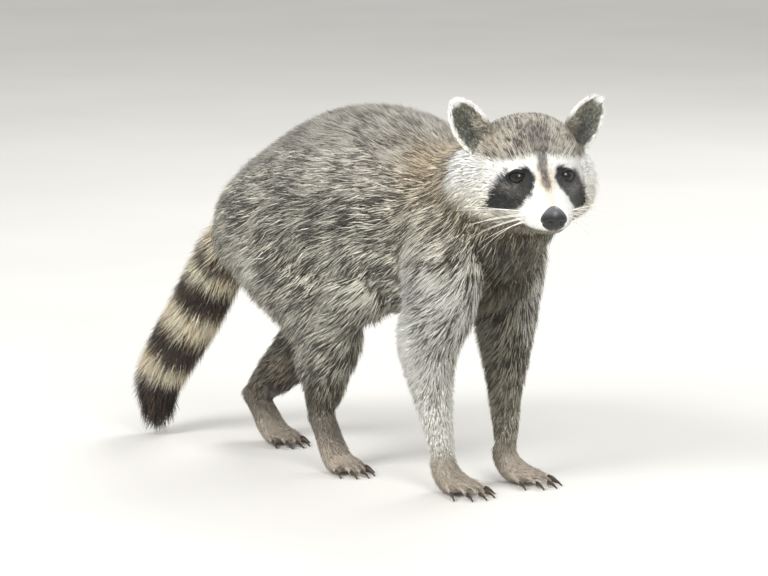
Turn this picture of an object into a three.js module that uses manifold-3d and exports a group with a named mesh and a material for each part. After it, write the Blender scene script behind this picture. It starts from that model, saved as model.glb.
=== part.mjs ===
// A raccoon standing on all fours with its head turned to its right, at life size.
// Millimetres. +X runs forward along the trunk, +Y is the animal's left and +Z is up.
// Every flesh solid is the outside of the coat. The soles are flats at one level, z = 0.
import * as THREE from "three";
import { mergeVertices } from "three/addons/utils/BufferGeometryUtils.js";
import Module from "manifold-3d";

const wasm = await Module();
wasm.setup();

// Driving dimensions
const backHeight = 343; // ground to the top of the arched back
const headYaw = -31; // degrees, towards the animal's right
const headPitch = 8; // degrees, nose down
const headPlace = [212, -18, 298]; // middle of the braincase
const noseReach = 86; // braincase to the middle of the nose pad
const eyeSpacing = 42;
const eyeRadius = 8;
const earHeight = 49; // with the part that the head's coat hides
const earHalfWidth = 16.5;
const clawLength = 10;
const clearance = 0.3; // gap between neighbouring solids
const rad = THREE.MathUtils.degToRad;
const forward = [1, 0, 0];
const up = [0, 0, 1];
const sides = { left: 1, right: -1 };

const look = (color, roughness, metalness = 0) =>
  new THREE.MeshStandardMaterial({ color, roughness, metalness });
const materials = {
  greyCoat: look(0x8b8377, 0.9),
  paleCoat: look(0xd9d2c4, 0.9),
  ringedCoat: look(0x9c7f5f, 0.9),
  shortCoat: look(0xa59c90, 0.85),
  leather: look(0x1d1c1e, 0.45),
  eye: look(0x14100c, 0.08),
  claw: look(0x3a322b, 0.4),
};

// Rows of numbers, blended smoothly from one row to the next (uniform Catmull-Rom).
function blendRows(rows, t) {
  const i = Math.min(Math.floor(t), rows.length - 2);
  const f = t - i;
  const [b, c] = [rows[i], rows[i + 1]];
  const a = rows[i - 1] ?? b.map((v, k) => 2 * v - c[k]);
  const d = rows[i + 2] ?? c.map((v, k) => 2 * v - b[k]);
  return b.map((v, k) => {
    const bend = 2 * a[k] - 5 * v + 4 * c[k] - d[k];
    const twist = 3 * v - a[k] - 3 * c[k] + d[k];
    return v + 0.5 * f * (c[k] - a[k] + f * (bend + f * twist));
  });
}

// Closes a list of rings, each with the same number of points, into one shell with a pole at each end.
function shellOf(rings, startPole, endPole) {
  const around = rings[0].length;
  const points = [startPole, ...rings.flat(), endPole];
  const last = points.length - 1;
  const faces = [];
  const at = (ring, k) => 1 + ring * around + (k % around);
  for (let k = 0; k < around; k++) {
    faces.push(0, at(0, k + 1), at(0, k));
    faces.push(last, at(rings.length - 1, k), at(rings.length - 1, k + 1));
    for (let r = 0; r < rings.length - 1; r++) {
      faces.push(at(r, k), at(r, k + 1), at(r + 1, k + 1));
      faces.push(at(r, k), at(r + 1, k + 1), at(r + 1, k));
    }
  }
  const geometry = new THREE.BufferGeometry().setFromPoints(points);
  geometry.setIndex(faces);
  return geometry;
}

// A body form carried along a path. Each row is x, y, z, half width, height above and height below.
// hint is the direction that "above" leans to. Sections are square to the path, or to axis if given.
// dome is how far each end bulges, as a share of its radius, and sculpt moves the finished points.
function bodyForm(rows, { rings, around, hint, axis, grow = 0, dome = [0.7, 0.7], domeRings = 3, sculpt }) {
  const place = (t) => new THREE.Vector3(...blendRows(rows, t));
  const sectionAt = (t, scale, push) => {
    const step = 0.02;
    const [before, after] = [Math.max(t - step, 0), Math.min(t + step, rows.length - 1)];
    const along = axis ? new THREE.Vector3(...axis) : place(after).sub(place(before)).normalize();
    const side = new THREE.Vector3(...hint).cross(along).normalize();
    const above = along.clone().cross(side);
    const row = blendRows(rows, t);
    const [width, high, low] = row.slice(3).map((radius) => radius + grow);
    const centre = place(t).addScaledVector(along, push * Math.min(width, (high + low) / 2));
    if (!scale) return centre;
    return Array.from({ length: around }, (_, k) => {
      const angle = (2 * Math.PI * k) / around;
      const rise = Math.sin(angle) * (Math.sin(angle) > 0 ? high : low);
      const point = centre.clone();
      point.addScaledVector(side, scale * width * Math.cos(angle));
      return point.addScaledVector(above, scale * rise);
    });
  };
  const last = rows.length - 1;
  const turns = Array.from({ length: domeRings - 1 }, (_, k) => ((k + 1) / domeRings) * (Math.PI / 2));
  const list = [
    ...turns.toReversed().map((turn) => sectionAt(0, Math.cos(turn), -dome[0] * Math.sin(turn))),
    ...Array.from({ length: rings }, (_, k) => sectionAt((last * k) / (rings - 1), 1, 0)),
    ...turns.map((turn) => sectionAt(last, Math.cos(turn), dome[1] * Math.sin(turn))),
  ];
  const poles = [sectionAt(0, 0, -dome[0]), sectionAt(last, 0, dome[1])];
  if (sculpt) [...list.flat(), ...poles].forEach(sculpt);
  return shellOf(list, ...poles);
}

// A closed three.js geometry as a solid, and back again.
function solidOf(geometry) {
  const plain = geometry.index ? geometry.toNonIndexed() : geometry.clone();
  plain.deleteAttribute("normal");
  plain.deleteAttribute("uv");
  const merged = mergeVertices(plain, 1e-4);
  const data = {
    numProp: 3,
    vertProperties: merged.attributes.position.array,
    triVerts: new Uint32Array(merged.index.array),
  };
  return new wasm.Manifold(new wasm.Mesh(data));
}

function geometryOf(solid) {
  const { vertProperties, triVerts } = solid.getMesh();
  const geometry = new THREE.BufferGeometry();
  geometry.setAttribute("position", new THREE.BufferAttribute(vertProperties, 3));
  geometry.setIndex(new THREE.BufferAttribute(triVerts, 1));
  geometry.computeVertexNormals();
  return geometry;
}

const join = (solids) => solids.reduce((all, next) => all.add(next));

// What is left of a solid once its neighbours are taken out: the largest piece.
function without(solid, ...neighbours) {
  const left = neighbours.reduce((rest, next) => rest.subtract(next), solid);
  return left.decompose().sort((a, b) => b.volume() - a.volume())[0];
}

function meshOf(name, solid, material) {
  const mesh = new THREE.Mesh(geometryOf(solid), material);
  mesh.name = name;
  return mesh;
}

// Trunk: from the rump to the chest. Each row is x, top as a share of backHeight, bottom and half width.
const trunkRows = [
  [-164, 0.715, 186, 41],
  [-146, 0.792, 166, 59],
  [-118, 0.857, 149, 79],
  [-80, 0.93, 136, 92],
  [-40, 0.98, 141, 97],
  [0, 1, 145, 97],
  [40, 0.997, 149, 93],
  [80, 0.972, 153, 86],
  [120, 0.93, 157, 77],
  [150, 0.885, 165, 66],
];
const waist = 0.46; // share of the height at which the trunk is widest
const trunkForm = trunkRows.map(([x, rise, bottom, width]) => {
  const top = rise * backHeight;
  const middle = bottom + waist * (top - bottom);
  return [x, 0, middle, width, top - middle, middle - bottom];
});
const trunk = (grow) =>
  solidOf(
    bodyForm(trunkForm, {
      rings: 14,
      around: 22,
      hint: up,
      axis: forward,
      grow,
      dome: [0.3, 0.4],
      domeRings: 2,
    }),
  );

// Neck: from between the shoulders up to the back of the head.
const neckRows = [
  [112, 0, 246, 66, 62, 78],
  [145, -1, 262, 65, 60, 76],
  [172, -6, 278, 62, 58, 66],
  [196, -13, 292, 58, 50, 56],
];
const neck = (grow) =>
  solidOf(bodyForm(neckRows, { rings: 5, around: 20, hint: up, grow, domeRings: 2 }));

// Tail: it drops behind the rump and bends a little to the animal's right.
const tailRows = [
  [-118, 0, 236, 20, 20, 20],
  [-150, -3, 224, 24, 24, 24],
  [-178, -8, 198, 27, 27, 27],
  [-200, -14, 166, 27.5, 27.5, 27.5],
  [-219, -21, 129, 27.5, 27.5, 27.5],
  [-240, -29, 92, 26, 26, 26],
  [-259, -34, 60, 22.5, 22.5, 22.5],
  [-261, -37, 33, 15.5, 15.5, 15.5],
];
const tail = (grow) =>
  solidOf(bodyForm(tailRows, { rings: 12, around: 12, hint: up, grow, dome: [0.5, 1.2] }));

// Head, in its own frame: x towards the nose, z up, origin in the braincase.
// Each row is x, height of the widest line, half width, height above and height below.
const headRows = [
  [-42, -8, 55, 54, 48],
  [-22, -16, 68, 68, 44],
  [0, -18, 68, 73.5, 41],
  [18, -15, 61, 64.5, 37],
  [34, -12, 47, 48, 30],
  [46, -12, 36, 34, 27],
  [57, -15, 29, 26, 24],
  [68, -18, 25, 21, 21],
  [78, -18.5, 21, 15, 18],
  [85, -19, 16, 10, 13],
];
const headForm = headRows.map(([x, z, width, up, down]) => [x, 0, z, width, up, down]);
const eyePlace = { x: 41.5, y: eyeSpacing / 2, z: 7.6 };
const socketDepth = 6;
const cheekSwell = 3;
const crownSwell = 4;

// The face sinks a little around each eye, and swells at the cheek below it. The crown is broad and flat.
function sculptFace(point) {
  const near = (x, y, z, reach) => {
    const gap = Math.hypot(point.x - x, Math.abs(point.y) - y, point.z - z);
    return Math.exp(-((gap / reach) ** 2));
  };
  point.x -= socketDepth * near(eyePlace.x + 7, eyePlace.y, eyePlace.z, 10);
  point.y += Math.sign(point.y) * cheekSwell * near(62, 20, -18, 12);
  point.z += crownSwell * near(2, 30, 46, 20);
}
const head = (grow) =>
  solidOf(
    bodyForm(headForm, {
      rings: 17,
      around: 20,
      hint: up,
      axis: forward,
      grow,
      dome: [0.5, 0.35],
      sculpt: sculptFace,
    }),
  );

const ball = (place, radii, grow = 0) => {
  const [x, y, z] = radii.map((radius) => radius + grow);
  return solidOf(new THREE.SphereGeometry(1, 14, 8).scale(x, y, z).translate(...place));
};
const nosePlace = [noseReach, 0, -18];
const noseRadii = [9.5, 12.3, 11.3];
const nosePad = (grow) => ball(nosePlace, noseRadii, grow);
const eyeball = (side, grow) =>
  ball([eyePlace.x, side * eyePlace.y, eyePlace.z], [eyeRadius, eyeRadius, eyeRadius], grow);

// Ear: a rounded cup that opens forward. Its rings are crescents that narrow to the tip.
const earRoot = { x: -1, y: 42, z: 26.5 };
const earLean = { back: 0.25, out: 0.65 }; // for each mm that it rises
const earThick = 4.5;
const earCup = 14;
function ear(side) {
  const rise = new THREE.Vector3(-earLean.back, side * earLean.out, 1).normalize();
  const facing = new THREE.Vector3(...forward);
  facing.addScaledVector(rise, -facing.dot(rise)).normalize();
  const across = rise.clone().cross(facing);
  const root = new THREE.Vector3(earRoot.x, side * earRoot.y, earRoot.z);
  const [rows, columns] = [8, 7];
  const crescent = (v) => {
    const half = earHalfWidth * (1 - v ** 2.4) ** 0.5 * (0.88 + 0.19 * Math.sin(Math.PI * v));
    const sheet = (u, back) => {
      const cup = earCup * (1 - u * u) * v ** 0.4 * (1 - 0.45 * v) * (half / earHalfWidth);
      const thick = back * earThick * Math.sqrt(Math.max(0, 1 - 0.75 * u * u)) * (1 - 0.35 * v);
      const point = root.clone().addScaledVector(rise, v * earHeight);
      return point.addScaledVector(across, u * half).addScaledVector(facing, -cup - thick);
    };
    const turns = Array.from({ length: columns }, (_, k) => 1 - (2 * k) / (columns - 1));
    return [...turns.map((u) => sheet(u, 1)), ...turns.toReversed().map((u) => sheet(u, 0))];
  };
  const rings = Array.from({ length: rows }, (_, k) => crescent((0.985 * k) / (rows - 1)));
  const middle = (ring) =>
    ring.reduce((sum, point) => sum.add(point), new THREE.Vector3()).divideScalar(ring.length);
  const tip = middle(rings.at(-1)).addScaledVector(rise, 0.6);
  return solidOf(shellOf(rings, middle(rings[0]), tip));
}

const headTurn = new THREE.Euler(0, rad(headPitch), rad(headYaw), "ZYX");
const headMatrix = new THREE.Matrix4().makeRotationFromEuler(headTurn).setPosition(...headPlace);

function buildHead() {
  const group = new THREE.Group();
  group.position.set(...headPlace);
  group.rotation.copy(headTurn);
  const cutters = [nosePad(clearance), eyeball(1, clearance), eyeball(-1, clearance)];
  group.add(
    meshOf("head", without(head(0), ...cutters), materials.paleCoat),
    meshOf("nose_pad", nosePad(0), materials.leather),
  );
  for (const [name, side] of Object.entries(sides)) {
    group.add(meshOf("eye_" + name, eyeball(side, 0), materials.eye));
    group.add(meshOf("ear_" + name, without(ear(side), head(clearance)), materials.shortCoat));
  }
  return group;
}

// Paws, in their own frame: x towards the toes, origin on the ground under the knuckles.
const groundSize = 300;
const ground = () => {
  const block = new THREE.BoxGeometry(groundSize, groundSize, groundSize);
  return solidOf(block.translate(0, 0, -groundSize / 2));
};

// One toe: it springs from the knuckles, arches and comes down on its tip.
function toeRows(toe) {
  const turn = rad(toe.fan);
  const out = [0, 0.35, 0.7, 1].map((share) => share * toe.length);
  const lift = [9, 9.5, 6, 3.1];
  return out.map((reach, k) => {
    const radius = toe.radius * (1 - 0.07 * k);
    const place = [toe.x + reach * Math.cos(turn), toe.y + reach * Math.sin(turn), lift[k]];
    return [...place, radius, radius, radius + 0.4];
  });
}

// The claw leaves the toe's tip and curves down to the ground.
function clawRows(toe) {
  const tip = toeRows(toe).at(-1);
  const turn = rad(toe.fan);
  return [0, 0.35, 0.7, 1].map((share) => {
    const reach = 1.5 + share * clawLength;
    const radius = 2.4 * (1 - 0.82 * share);
    const height = tip[2] + 2.2 - 4.2 * share * share;
    const place = [tip[0] + reach * Math.cos(turn), tip[1] + reach * Math.sin(turn), height];
    return [...place, 0.75 * radius, radius, radius];
  });
}

const toesOf = (paw) =>
  [-2, -1, 0, 1, 2].map((n) => ({
    x: paw.knuckle - 2.2 * n * n,
    y: n * paw.spread,
    fan: n * paw.fan,
    length: paw.toeLength - 1.6 * n * n,
    radius: paw.toeRadius,
  }));

const toeForm = { rings: 3, around: 6, hint: up, domeRings: 2 };
const clawForm = { rings: 3, around: 5, hint: up, dome: [0.5, 0.8], domeRings: 1 };
const palmForm = { rings: 5, around: 10, hint: up, dome: [0.35, 0.4], domeRings: 2 };

function pawSolid(paw, grow) {
  const palm = solidOf(bodyForm(paw.palm, { ...palmForm, grow }));
  const toes = toesOf(paw).map((toe) => solidOf(bodyForm(toeRows(toe), { ...toeForm, grow })));
  return join([palm, ...toes]).subtract(ground());
}

// Each row of a palm is x, y, z, half width, above and below, from the wrist or heel to the knuckles.
const forePalm = [
  [-20, 0, 34, 12, 12, 12],
  [-17, 0, 21, 13.5, 12.5, 13.5],
  [-6, 0, 12, 16.5, 11, 13],
  [8, 0, 9, 17.5, 8, 10],
];
const hindPalm = (slope) => {
  const length = 50;
  const [back, high] = [length * Math.cos(rad(slope)), length * Math.sin(rad(slope))];
  return [
    [-back, 0, 13 + high, 15, 13, 13],
    [-0.62 * back, 0, 12 + 0.6 * high, 14.5, 12.5, 13],
    [-0.25 * back, 0, 11 + 0.2 * high, 16.5, 11.5, 13],
    [2, 0, 10, 18, 10, 12],
    [12, 0, 9, 17, 8, 10],
  ];
};
const foreToes = { knuckle: 12, spread: 7.6, fan: 11, toeLength: 22, toeRadius: 4.6 };
const hindToes = { knuckle: 13, spread: 7.4, fan: 7, toeLength: 21, toeRadius: 4.8 };

// Half width, front and back of a leg, from the body down to the paw.
const foreGirth = [
  [32, 38, 36],
  [34, 40, 42],
  [31, 32, 36],
  [27, 27, 30],
  [20, 20, 21.5],
  [14.5, 15, 15.5],
  [11.5, 12, 12.5],
];
const hindGirth = [
  [34, 46, 46],
  [40, 54, 52],
  [37, 44, 44],
  [30, 34, 33],
  [24, 27, 27],
  [18, 19.5, 19.5],
  [13, 13.5, 14.5],
];
const legForm = { rings: 10, around: 12, hint: forward, domeRings: 2 };

// Builds one leg with its paw and claws. path is where the middle of each girth is, from the top down.
function buildLeg(name, path, girth, { stand, heading, palm, toes }) {
  const group = new THREE.Group();
  const paw = { palm, ...toes };
  const foot = new THREE.Group();
  foot.position.set(...stand, 0);
  foot.rotation.z = rad(heading);
  const matrix = new THREE.Matrix4().makeRotationZ(rad(heading)).setPosition(foot.position);
  const grown = pawSolid(paw, clearance);
  foot.add(meshOf(name + "_paw", pawSolid(paw, 0), materials.shortCoat));
  toesOf(paw).forEach((toe, k) => {
    const claw = solidOf(bodyForm(clawRows(toe), clawForm));
    foot.add(meshOf(name + "_claw_" + (k + 1), without(claw, grown), materials.claw));
  });
  const rows = path.map((place, k) => [...place, ...girth[k]]);
  const limb = solidOf(bodyForm(rows, legForm));
  const neighbours = [trunk(clearance), neck(clearance), tail(clearance)];
  const cut = without(limb, ...neighbours, grown.transform(matrix.elements));
  group.add(meshOf(name + "_leg", cut, materials.greyCoat), foot);
  return group;
}

const leftForePath = [
  [135, 43, 250],
  [134, 45, 215],
  [130, 46.5, 178],
  [128, 47, 148],
  [129, 45, 112],
  [132, 41, 74],
  [135.5, 38, 40],
];
const rightForePath = [
  [138, -48, 250],
  [145, -54, 213],
  [140, -52, 176],
  [121, -47, 143],
  [117, -43, 108],
  [121, -39.5, 70],
  [126, -37.5, 40],
];
const leftHindPath = [
  [-100, 42, 236],
  [-86, 55, 200],
  [-84, 50, 165],
  [-98, 42, 134],
  [-121, 32, 102],
  [-149, 23, 71],
  [-177, 16, 45],
];
const rightHindPath = [
  [-98, -42, 236],
  [-58, -56, 200],
  [-21, -55, 165],
  [-6, -52, 134],
  [-15, -48, 105],
  [-19, -45, 80],
  [-28, -42, 56],
];

const animal = new THREE.Group();
const headSpace = head(clearance).transform(headMatrix.elements);
animal.add(
  meshOf("trunk", without(trunk(0), headSpace), materials.greyCoat),
  meshOf("neck", without(neck(0), trunk(clearance), headSpace), materials.greyCoat),
  meshOf("tail", without(tail(0), trunk(clearance)), materials.ringedCoat),
  buildHead(),
  buildLeg("left_fore", leftForePath, foreGirth, {
    stand: [154, 38],
    heading: 4,
    palm: forePalm,
    toes: foreToes,
  }),
  buildLeg("right_fore", rightForePath, foreGirth, {
    stand: [145, -38],
    heading: -6,
    palm: forePalm,
    toes: foreToes,
  }),
  buildLeg("left_hind", leftHindPath, hindGirth, {
    stand: [-146, 13],
    heading: -5,
    palm: hindPalm(45),
    toes: hindToes,
  }),
  buildLeg("right_hind", rightHindPath, hindGirth, {
    stand: [-1, -44],
    heading: -4,
    palm: hindPalm(56),
    toes: hindToes,
  }),
);

// The origin is on the ground, under the middle of the animal's box.
const part = new THREE.Group();
part.add(animal);
part.updateMatrixWorld(true);
const middle = new THREE.Box3().setFromObject(part, true).getCenter(new THREE.Vector3());
animal.position.set(-middle.x, -middle.y, 0);

export default part;
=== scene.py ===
import math

import bpy
import numpy as np
from mathutils import Matrix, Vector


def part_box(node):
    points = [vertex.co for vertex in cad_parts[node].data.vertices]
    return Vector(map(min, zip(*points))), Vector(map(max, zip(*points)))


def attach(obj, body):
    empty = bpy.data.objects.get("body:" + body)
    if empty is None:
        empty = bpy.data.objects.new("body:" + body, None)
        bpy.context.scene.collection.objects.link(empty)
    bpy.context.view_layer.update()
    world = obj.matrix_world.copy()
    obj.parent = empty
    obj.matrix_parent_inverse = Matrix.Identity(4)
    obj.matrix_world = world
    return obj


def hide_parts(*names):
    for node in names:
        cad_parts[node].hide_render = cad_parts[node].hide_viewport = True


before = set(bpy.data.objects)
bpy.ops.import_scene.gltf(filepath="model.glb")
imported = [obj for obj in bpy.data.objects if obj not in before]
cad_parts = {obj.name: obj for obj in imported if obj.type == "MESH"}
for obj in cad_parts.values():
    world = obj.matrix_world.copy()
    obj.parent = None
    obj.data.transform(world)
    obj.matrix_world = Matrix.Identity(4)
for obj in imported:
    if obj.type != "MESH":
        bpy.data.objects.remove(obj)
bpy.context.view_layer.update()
print("frame loaded")

# All shapes are worked out in millimetres in the animal's own frame: X forward, Y to its left, Z up.
forward = np.array([1.0, 0.0, 0.0])
upward = np.array([0.0, 0.0, 1.0])
sides = {"left": 1, "right": -1}


# Vectors over their own length.
def unit(vectors):
    return vectors / np.maximum(np.linalg.norm(vectors, axis=-1, keepdims=True), 1e-9)


# The part of vectors that is square to others of length 1.
def squareTo(vectors, others):
    return vectors - others * (vectors * others).sum(axis=1, keepdims=True)


# Goes from 0 at the first place to 1 at the second as 3s2 - 2s3.
def ramp(value, first, second):
    s = np.clip((value - first) / (second - first), 0, 1)
    return s * s * (3 - 2 * s)


wide = math.inf  # the reach of a bell along an axis that it leaves out


# A bell of height 1 whose value falls to 1/e one reach away from the middle.
def bell(points, middle, reach):
    away = (points - np.array(middle)) / np.array(reach)
    return np.exp(-(away * away).sum(axis=-1))


# Goes from 0 at a reach below zero to 1 at a reach above it.
def soft(value, reach):
    return ramp(value, -reach, reach)


cornerFactors = (73856093, 19349663, 83492791)  # large numbers that scatter neighbouring corners
seedFactor = 9781
mixFactor = 1274126177


# Smooth noise from -1 to 1: a hashed value at each corner of a cubic grid, blended by 3s2 - 2s3.
def smoothNoise(points, size, seed):
    cell = np.floor(points / size).astype(np.int64)
    part = points / size - cell
    part = part * part * (3 - 2 * part)
    total = np.zeros(len(points))
    for corner in np.ndindex(2, 2, 2):
        at = (cell + np.array(corner)) * cornerFactors
        mixed = at[:, 0] ^ at[:, 1] ^ at[:, 2] ^ (seed * seedFactor)
        mixed = ((mixed ^ (mixed >> 13)) * mixFactor) & 0x7FFFFFFF
        value = ((mixed ^ (mixed >> 15)) & 0xFFFF) / 32767.5 - 1
        share = np.prod(np.where(np.array(corner) == 1, part, 1 - part), axis=1)
        total += value * share
    return total


# ---- the stance

headStance = {
    "turn": -31,  # degrees to the animal's left, so it looks to its right
    "nod": 8,  # degrees down
    "place": (212, -18, 298),
    "eye": (41.5, 21, 7.6),
    "eyeRadius": 8,
    "nose": (86, 0, -18),
}


# The turn of one axis towards another by an angle in degrees.
def turnMatrix(degrees, axis, towards):
    angle = math.radians(degrees)
    matrix = np.eye(3)
    matrix[axis, axis] = matrix[towards, towards] = math.cos(angle)
    matrix[towards, axis] = math.sin(angle)
    matrix[axis, towards] = -math.sin(angle)
    return matrix


headTurn = turnMatrix(headStance["turn"], 0, 1) @ turnMatrix(headStance["nod"], 2, 0)
headPlace = np.array(headStance["place"], float)


# Turned with the head and moved to its place, and back.
def fromHead(points):
    return points @ headTurn.T + headPlace


def toHead(points):
    return (points - headPlace) @ headTurn


# A vector given for the left side, on either side.
def onSide(vector, side):
    return np.array(vector) * (1, side, 1)


# The frame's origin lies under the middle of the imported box; an eye tells how far that is from
# the animal's own. Its middle in millimetres is 500 times the sum of its corners in metres.
eyeLow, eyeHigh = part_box("eye_left")
eyeMiddle = (np.array(eyeLow) + np.array(eyeHigh)) * 500
frameShift = eyeMiddle - fromHead(np.array(headStance["eye"]))


# Millimetres in the animal's own frame to metres in the shared one.
def toMetres(points):
    return (points + frameShift) * 0.001


# ---- the forms of the body

# Every column of a station table runs through its stations as a uniform Catmull-Rom curve.
def blendRows(rows, t):
    last = len(rows) - 1
    first = np.clip(np.floor(t), 0, last - 1).astype(int)
    s = (t - first)[:, None]
    b = rows[first]
    c = rows[first + 1]
    a = np.where((first > 0)[:, None], rows[np.maximum(first - 1, 0)], 2 * b - c)
    d = np.where((first + 2 <= last)[:, None], rows[np.minimum(first + 2, last)], 2 * c - b)
    cubic = (3 * b - 3 * c + d - a) * s**3
    square = (2 * a - 5 * b + 4 * c - d) * s**2
    return (2 * b + (c - a) * s + square + cubic) / 2


# Values for the side, above and below, or one at each station for all three.
def threeWays(values):
    values = np.array(values, float)
    return values if values.ndim == 2 else np.repeat(values[:, None], 3, axis=1)


# Station rows: x, y, z, half width, above, below, then the coat's depth at the side, above and
# below, and its length.
def stationRows(path, girths, depths, lengths):
    return np.column_stack([path, threeWays(girths), threeWays(depths), lengths])


alongStep = 0.02  # of a station, either way


# Centre, along, side and up of the sections at t, with what else the stations hold there. Along
# is a form's own axis, or runs from just behind the section to just ahead of it.
def sectionsAt(form, t):
    row = blendRows(form["rows"], t)
    last = len(form["rows"]) - 1
    if form.get("axis") is None:
        ahead = blendRows(form["rows"], np.minimum(t + alongStep, last))[:, :3]
        behind = blendRows(form["rows"], np.maximum(t - alongStep, 0))[:, :3]
        along = unit(ahead - behind)
    else:
        along = np.tile(form["axis"], (len(t), 1))
    side = unit(np.cross(form["hint"], along))
    up = np.cross(along, side)
    centre = row[:, :3]
    turn = form.get("turn")
    if turn is not None:
        centre = centre @ turn.T + form["place"]
        along, side, up = along @ turn.T, side @ turn.T, up @ turn.T
    return centre, along, side, up, row[:, 3:]


# Even angles round a circle.
def anglesRound(number):
    return np.arange(number) * 2 * math.pi / number


# Triangles of a closed shell of rings: pole, rings in order, pole.
def shellFaces(rings, around):
    ring = np.arange(rings - 1)[:, None] * around
    k = np.arange(around)
    a = (1 + ring + k).ravel()
    onwards = (k + 1) % around
    b = (1 + ring + onwards).ravel()
    top = 1 + (rings - 1) * around
    parts = [(0 * k, 1 + onwards, 1 + k), (a, b, b + around), (a, b + around, a + around)]
    parts.append((0 * k + top + around, top + k, top + onwards))
    return np.concatenate([np.column_stack(part) for part in parts])


leastGirth = 0.8  # mm
domeTurns = np.radians([75, 50, 25])
domeTip = 0.05  # how far a dome's end point stands out, as a share of the dome


# A closed shell round a form. At angle k a ring is centre + side w cos k + up h sin k, where h is
# the height above or below and coat is the share of the coat's depth taken off. Each end is a dome.
def loft(form, rings, around, coat=1.0):
    dome = form.get("dome", (0.7, 0.7))
    last = len(form["rows"]) - 1
    t = np.concatenate([np.zeros(3), np.linspace(0, last, rings), np.full(3, last)])
    lean = np.sin(domeTurns)
    push = np.concatenate([-dome[0] * lean, np.zeros(rings), dome[1] * lean[::-1]])
    shrink = np.concatenate([np.cos(domeTurns), np.ones(rings), np.cos(domeTurns[::-1])])
    centre, along, side, up, sizes = sectionsAt(form, t)
    width, above, below = np.maximum(sizes[:, :3] - coat * sizes[:, 3:6], leastGirth).T
    reach = np.minimum(width, (above + below) / 2)
    centre = centre + along * (push * reach)[:, None]
    angle = anglesRound(around)
    height = np.where(np.sin(angle) > 0, above[:, None], below[:, None])
    across = (width * shrink)[:, None] * np.cos(angle)
    rise = height * shrink[:, None] * np.sin(angle)
    points = centre[:, None] + side[:, None] * across[..., None] + up[:, None] * rise[..., None]
    ends = [0, -1]
    tips = centre[ends] + along[ends] * (reach[ends] * np.array([-dome[0], dome[1]]) * domeTip)[:, None]
    verts = np.concatenate([tips[:1], points.reshape(-1, 3), tips[1:]])
    return verts, shellFaces(len(t), around)


trunkShape = {
    "backHeight": 343,
    "waist": 0.46,  # where the widest line lies, as a share of the height
    "backDepth": -5,  # added to the coat's depth on the back
    # x, top as a share of the back's height, bottom, half width, coat depth, coat length
    "stations": [
        (-164, 0.715, 186, 41, 8, 32),
        (-146, 0.792, 166, 59, 10, 32),
        (-118, 0.857, 149, 79, 11, 30),
        (-80, 0.93, 136, 92, 12, 28),
        (-40, 0.98, 141, 97, 12, 27),
        (0, 1, 145, 97, 12, 27),
        (40, 0.997, 149, 93, 12, 27),
        (80, 0.972, 153, 86, 12, 26),
        (120, 0.93, 157, 77, 11, 25),
        (150, 0.885, 165, 66, 10, 23),
    ],
}


# Each section reaches from its bottom up to its share of the back's height, widest at the waist.
def trunkForm():
    x, share, bottom, width, depth, length = np.array(trunkShape["stations"], float).T
    height = share * trunkShape["backHeight"] - bottom
    middle = bottom + trunkShape["waist"] * height
    path = np.column_stack([x, 0 * x, middle])
    girths = np.column_stack([width, bottom + height - middle, middle - bottom])
    depths = np.column_stack([depth, depth + trunkShape["backDepth"], depth])
    rows = stationRows(path, girths, depths, length)
    return {"rows": rows, "hint": upward, "axis": forward, "dome": (0.3, 0.4)}


neckShape = {
    "path": [(112, 0, 246), (145, -1, 262), (172, -6, 278), (196, -13, 292)],
    "girths": [(66, 62, 78), (65, 60, 76), (62, 58, 66), (58, 50, 56)],
    "depths": [11, 12, 12, 12],
    "lengths": [24, 24, 24, 24],
}
tailShape = {
    "path": [
        (-118, 0, 236),
        (-150, -3, 224),
        (-178, -8, 198),
        (-200, -14, 166),
        (-219, -21, 129),
        (-240, -29, 92),
        (-259, -34, 60),
        (-261, -37, 33),
    ],
    "girths": [20, 24, 27, 27.5, 27.5, 26, 22.5, 15.5],
    "depths": [8, 11, 13, 14, 14, 13.5, 12, 9],
    "lengths": [26, 27, 28, 28, 28, 28, 27, 26],
}
headShape = {
    # x, z of the widest line, half width, above, below, coat depth beside, above, below
    "stations": [
        (-42, -8, 55, 54, 48, 13, 9, 12),
        (-22, -16, 68, 68, 44, 14, 8, 12),
        (0, -18, 68, 73.5, 41, 13, 6, 11),
        (18, -15, 61, 64.5, 37, 10, 4.5, 8),
        (34, -12, 47, 48, 30, 5.5, 3.5, 5),
        (46, -12, 36, 34, 27, 3, 2.8, 3.5),
        (57, -15, 29, 26, 24, 2, 2, 2.5),
        (68, -18, 25, 21, 21, 1.8, 1.8, 2),
        (78, -18.5, 21, 15, 18, 1.8, 1.6, 1.8),
        (85, -19, 16, 10, 13, 1.8, 1.6, 1.6),
    ],
}
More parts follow.
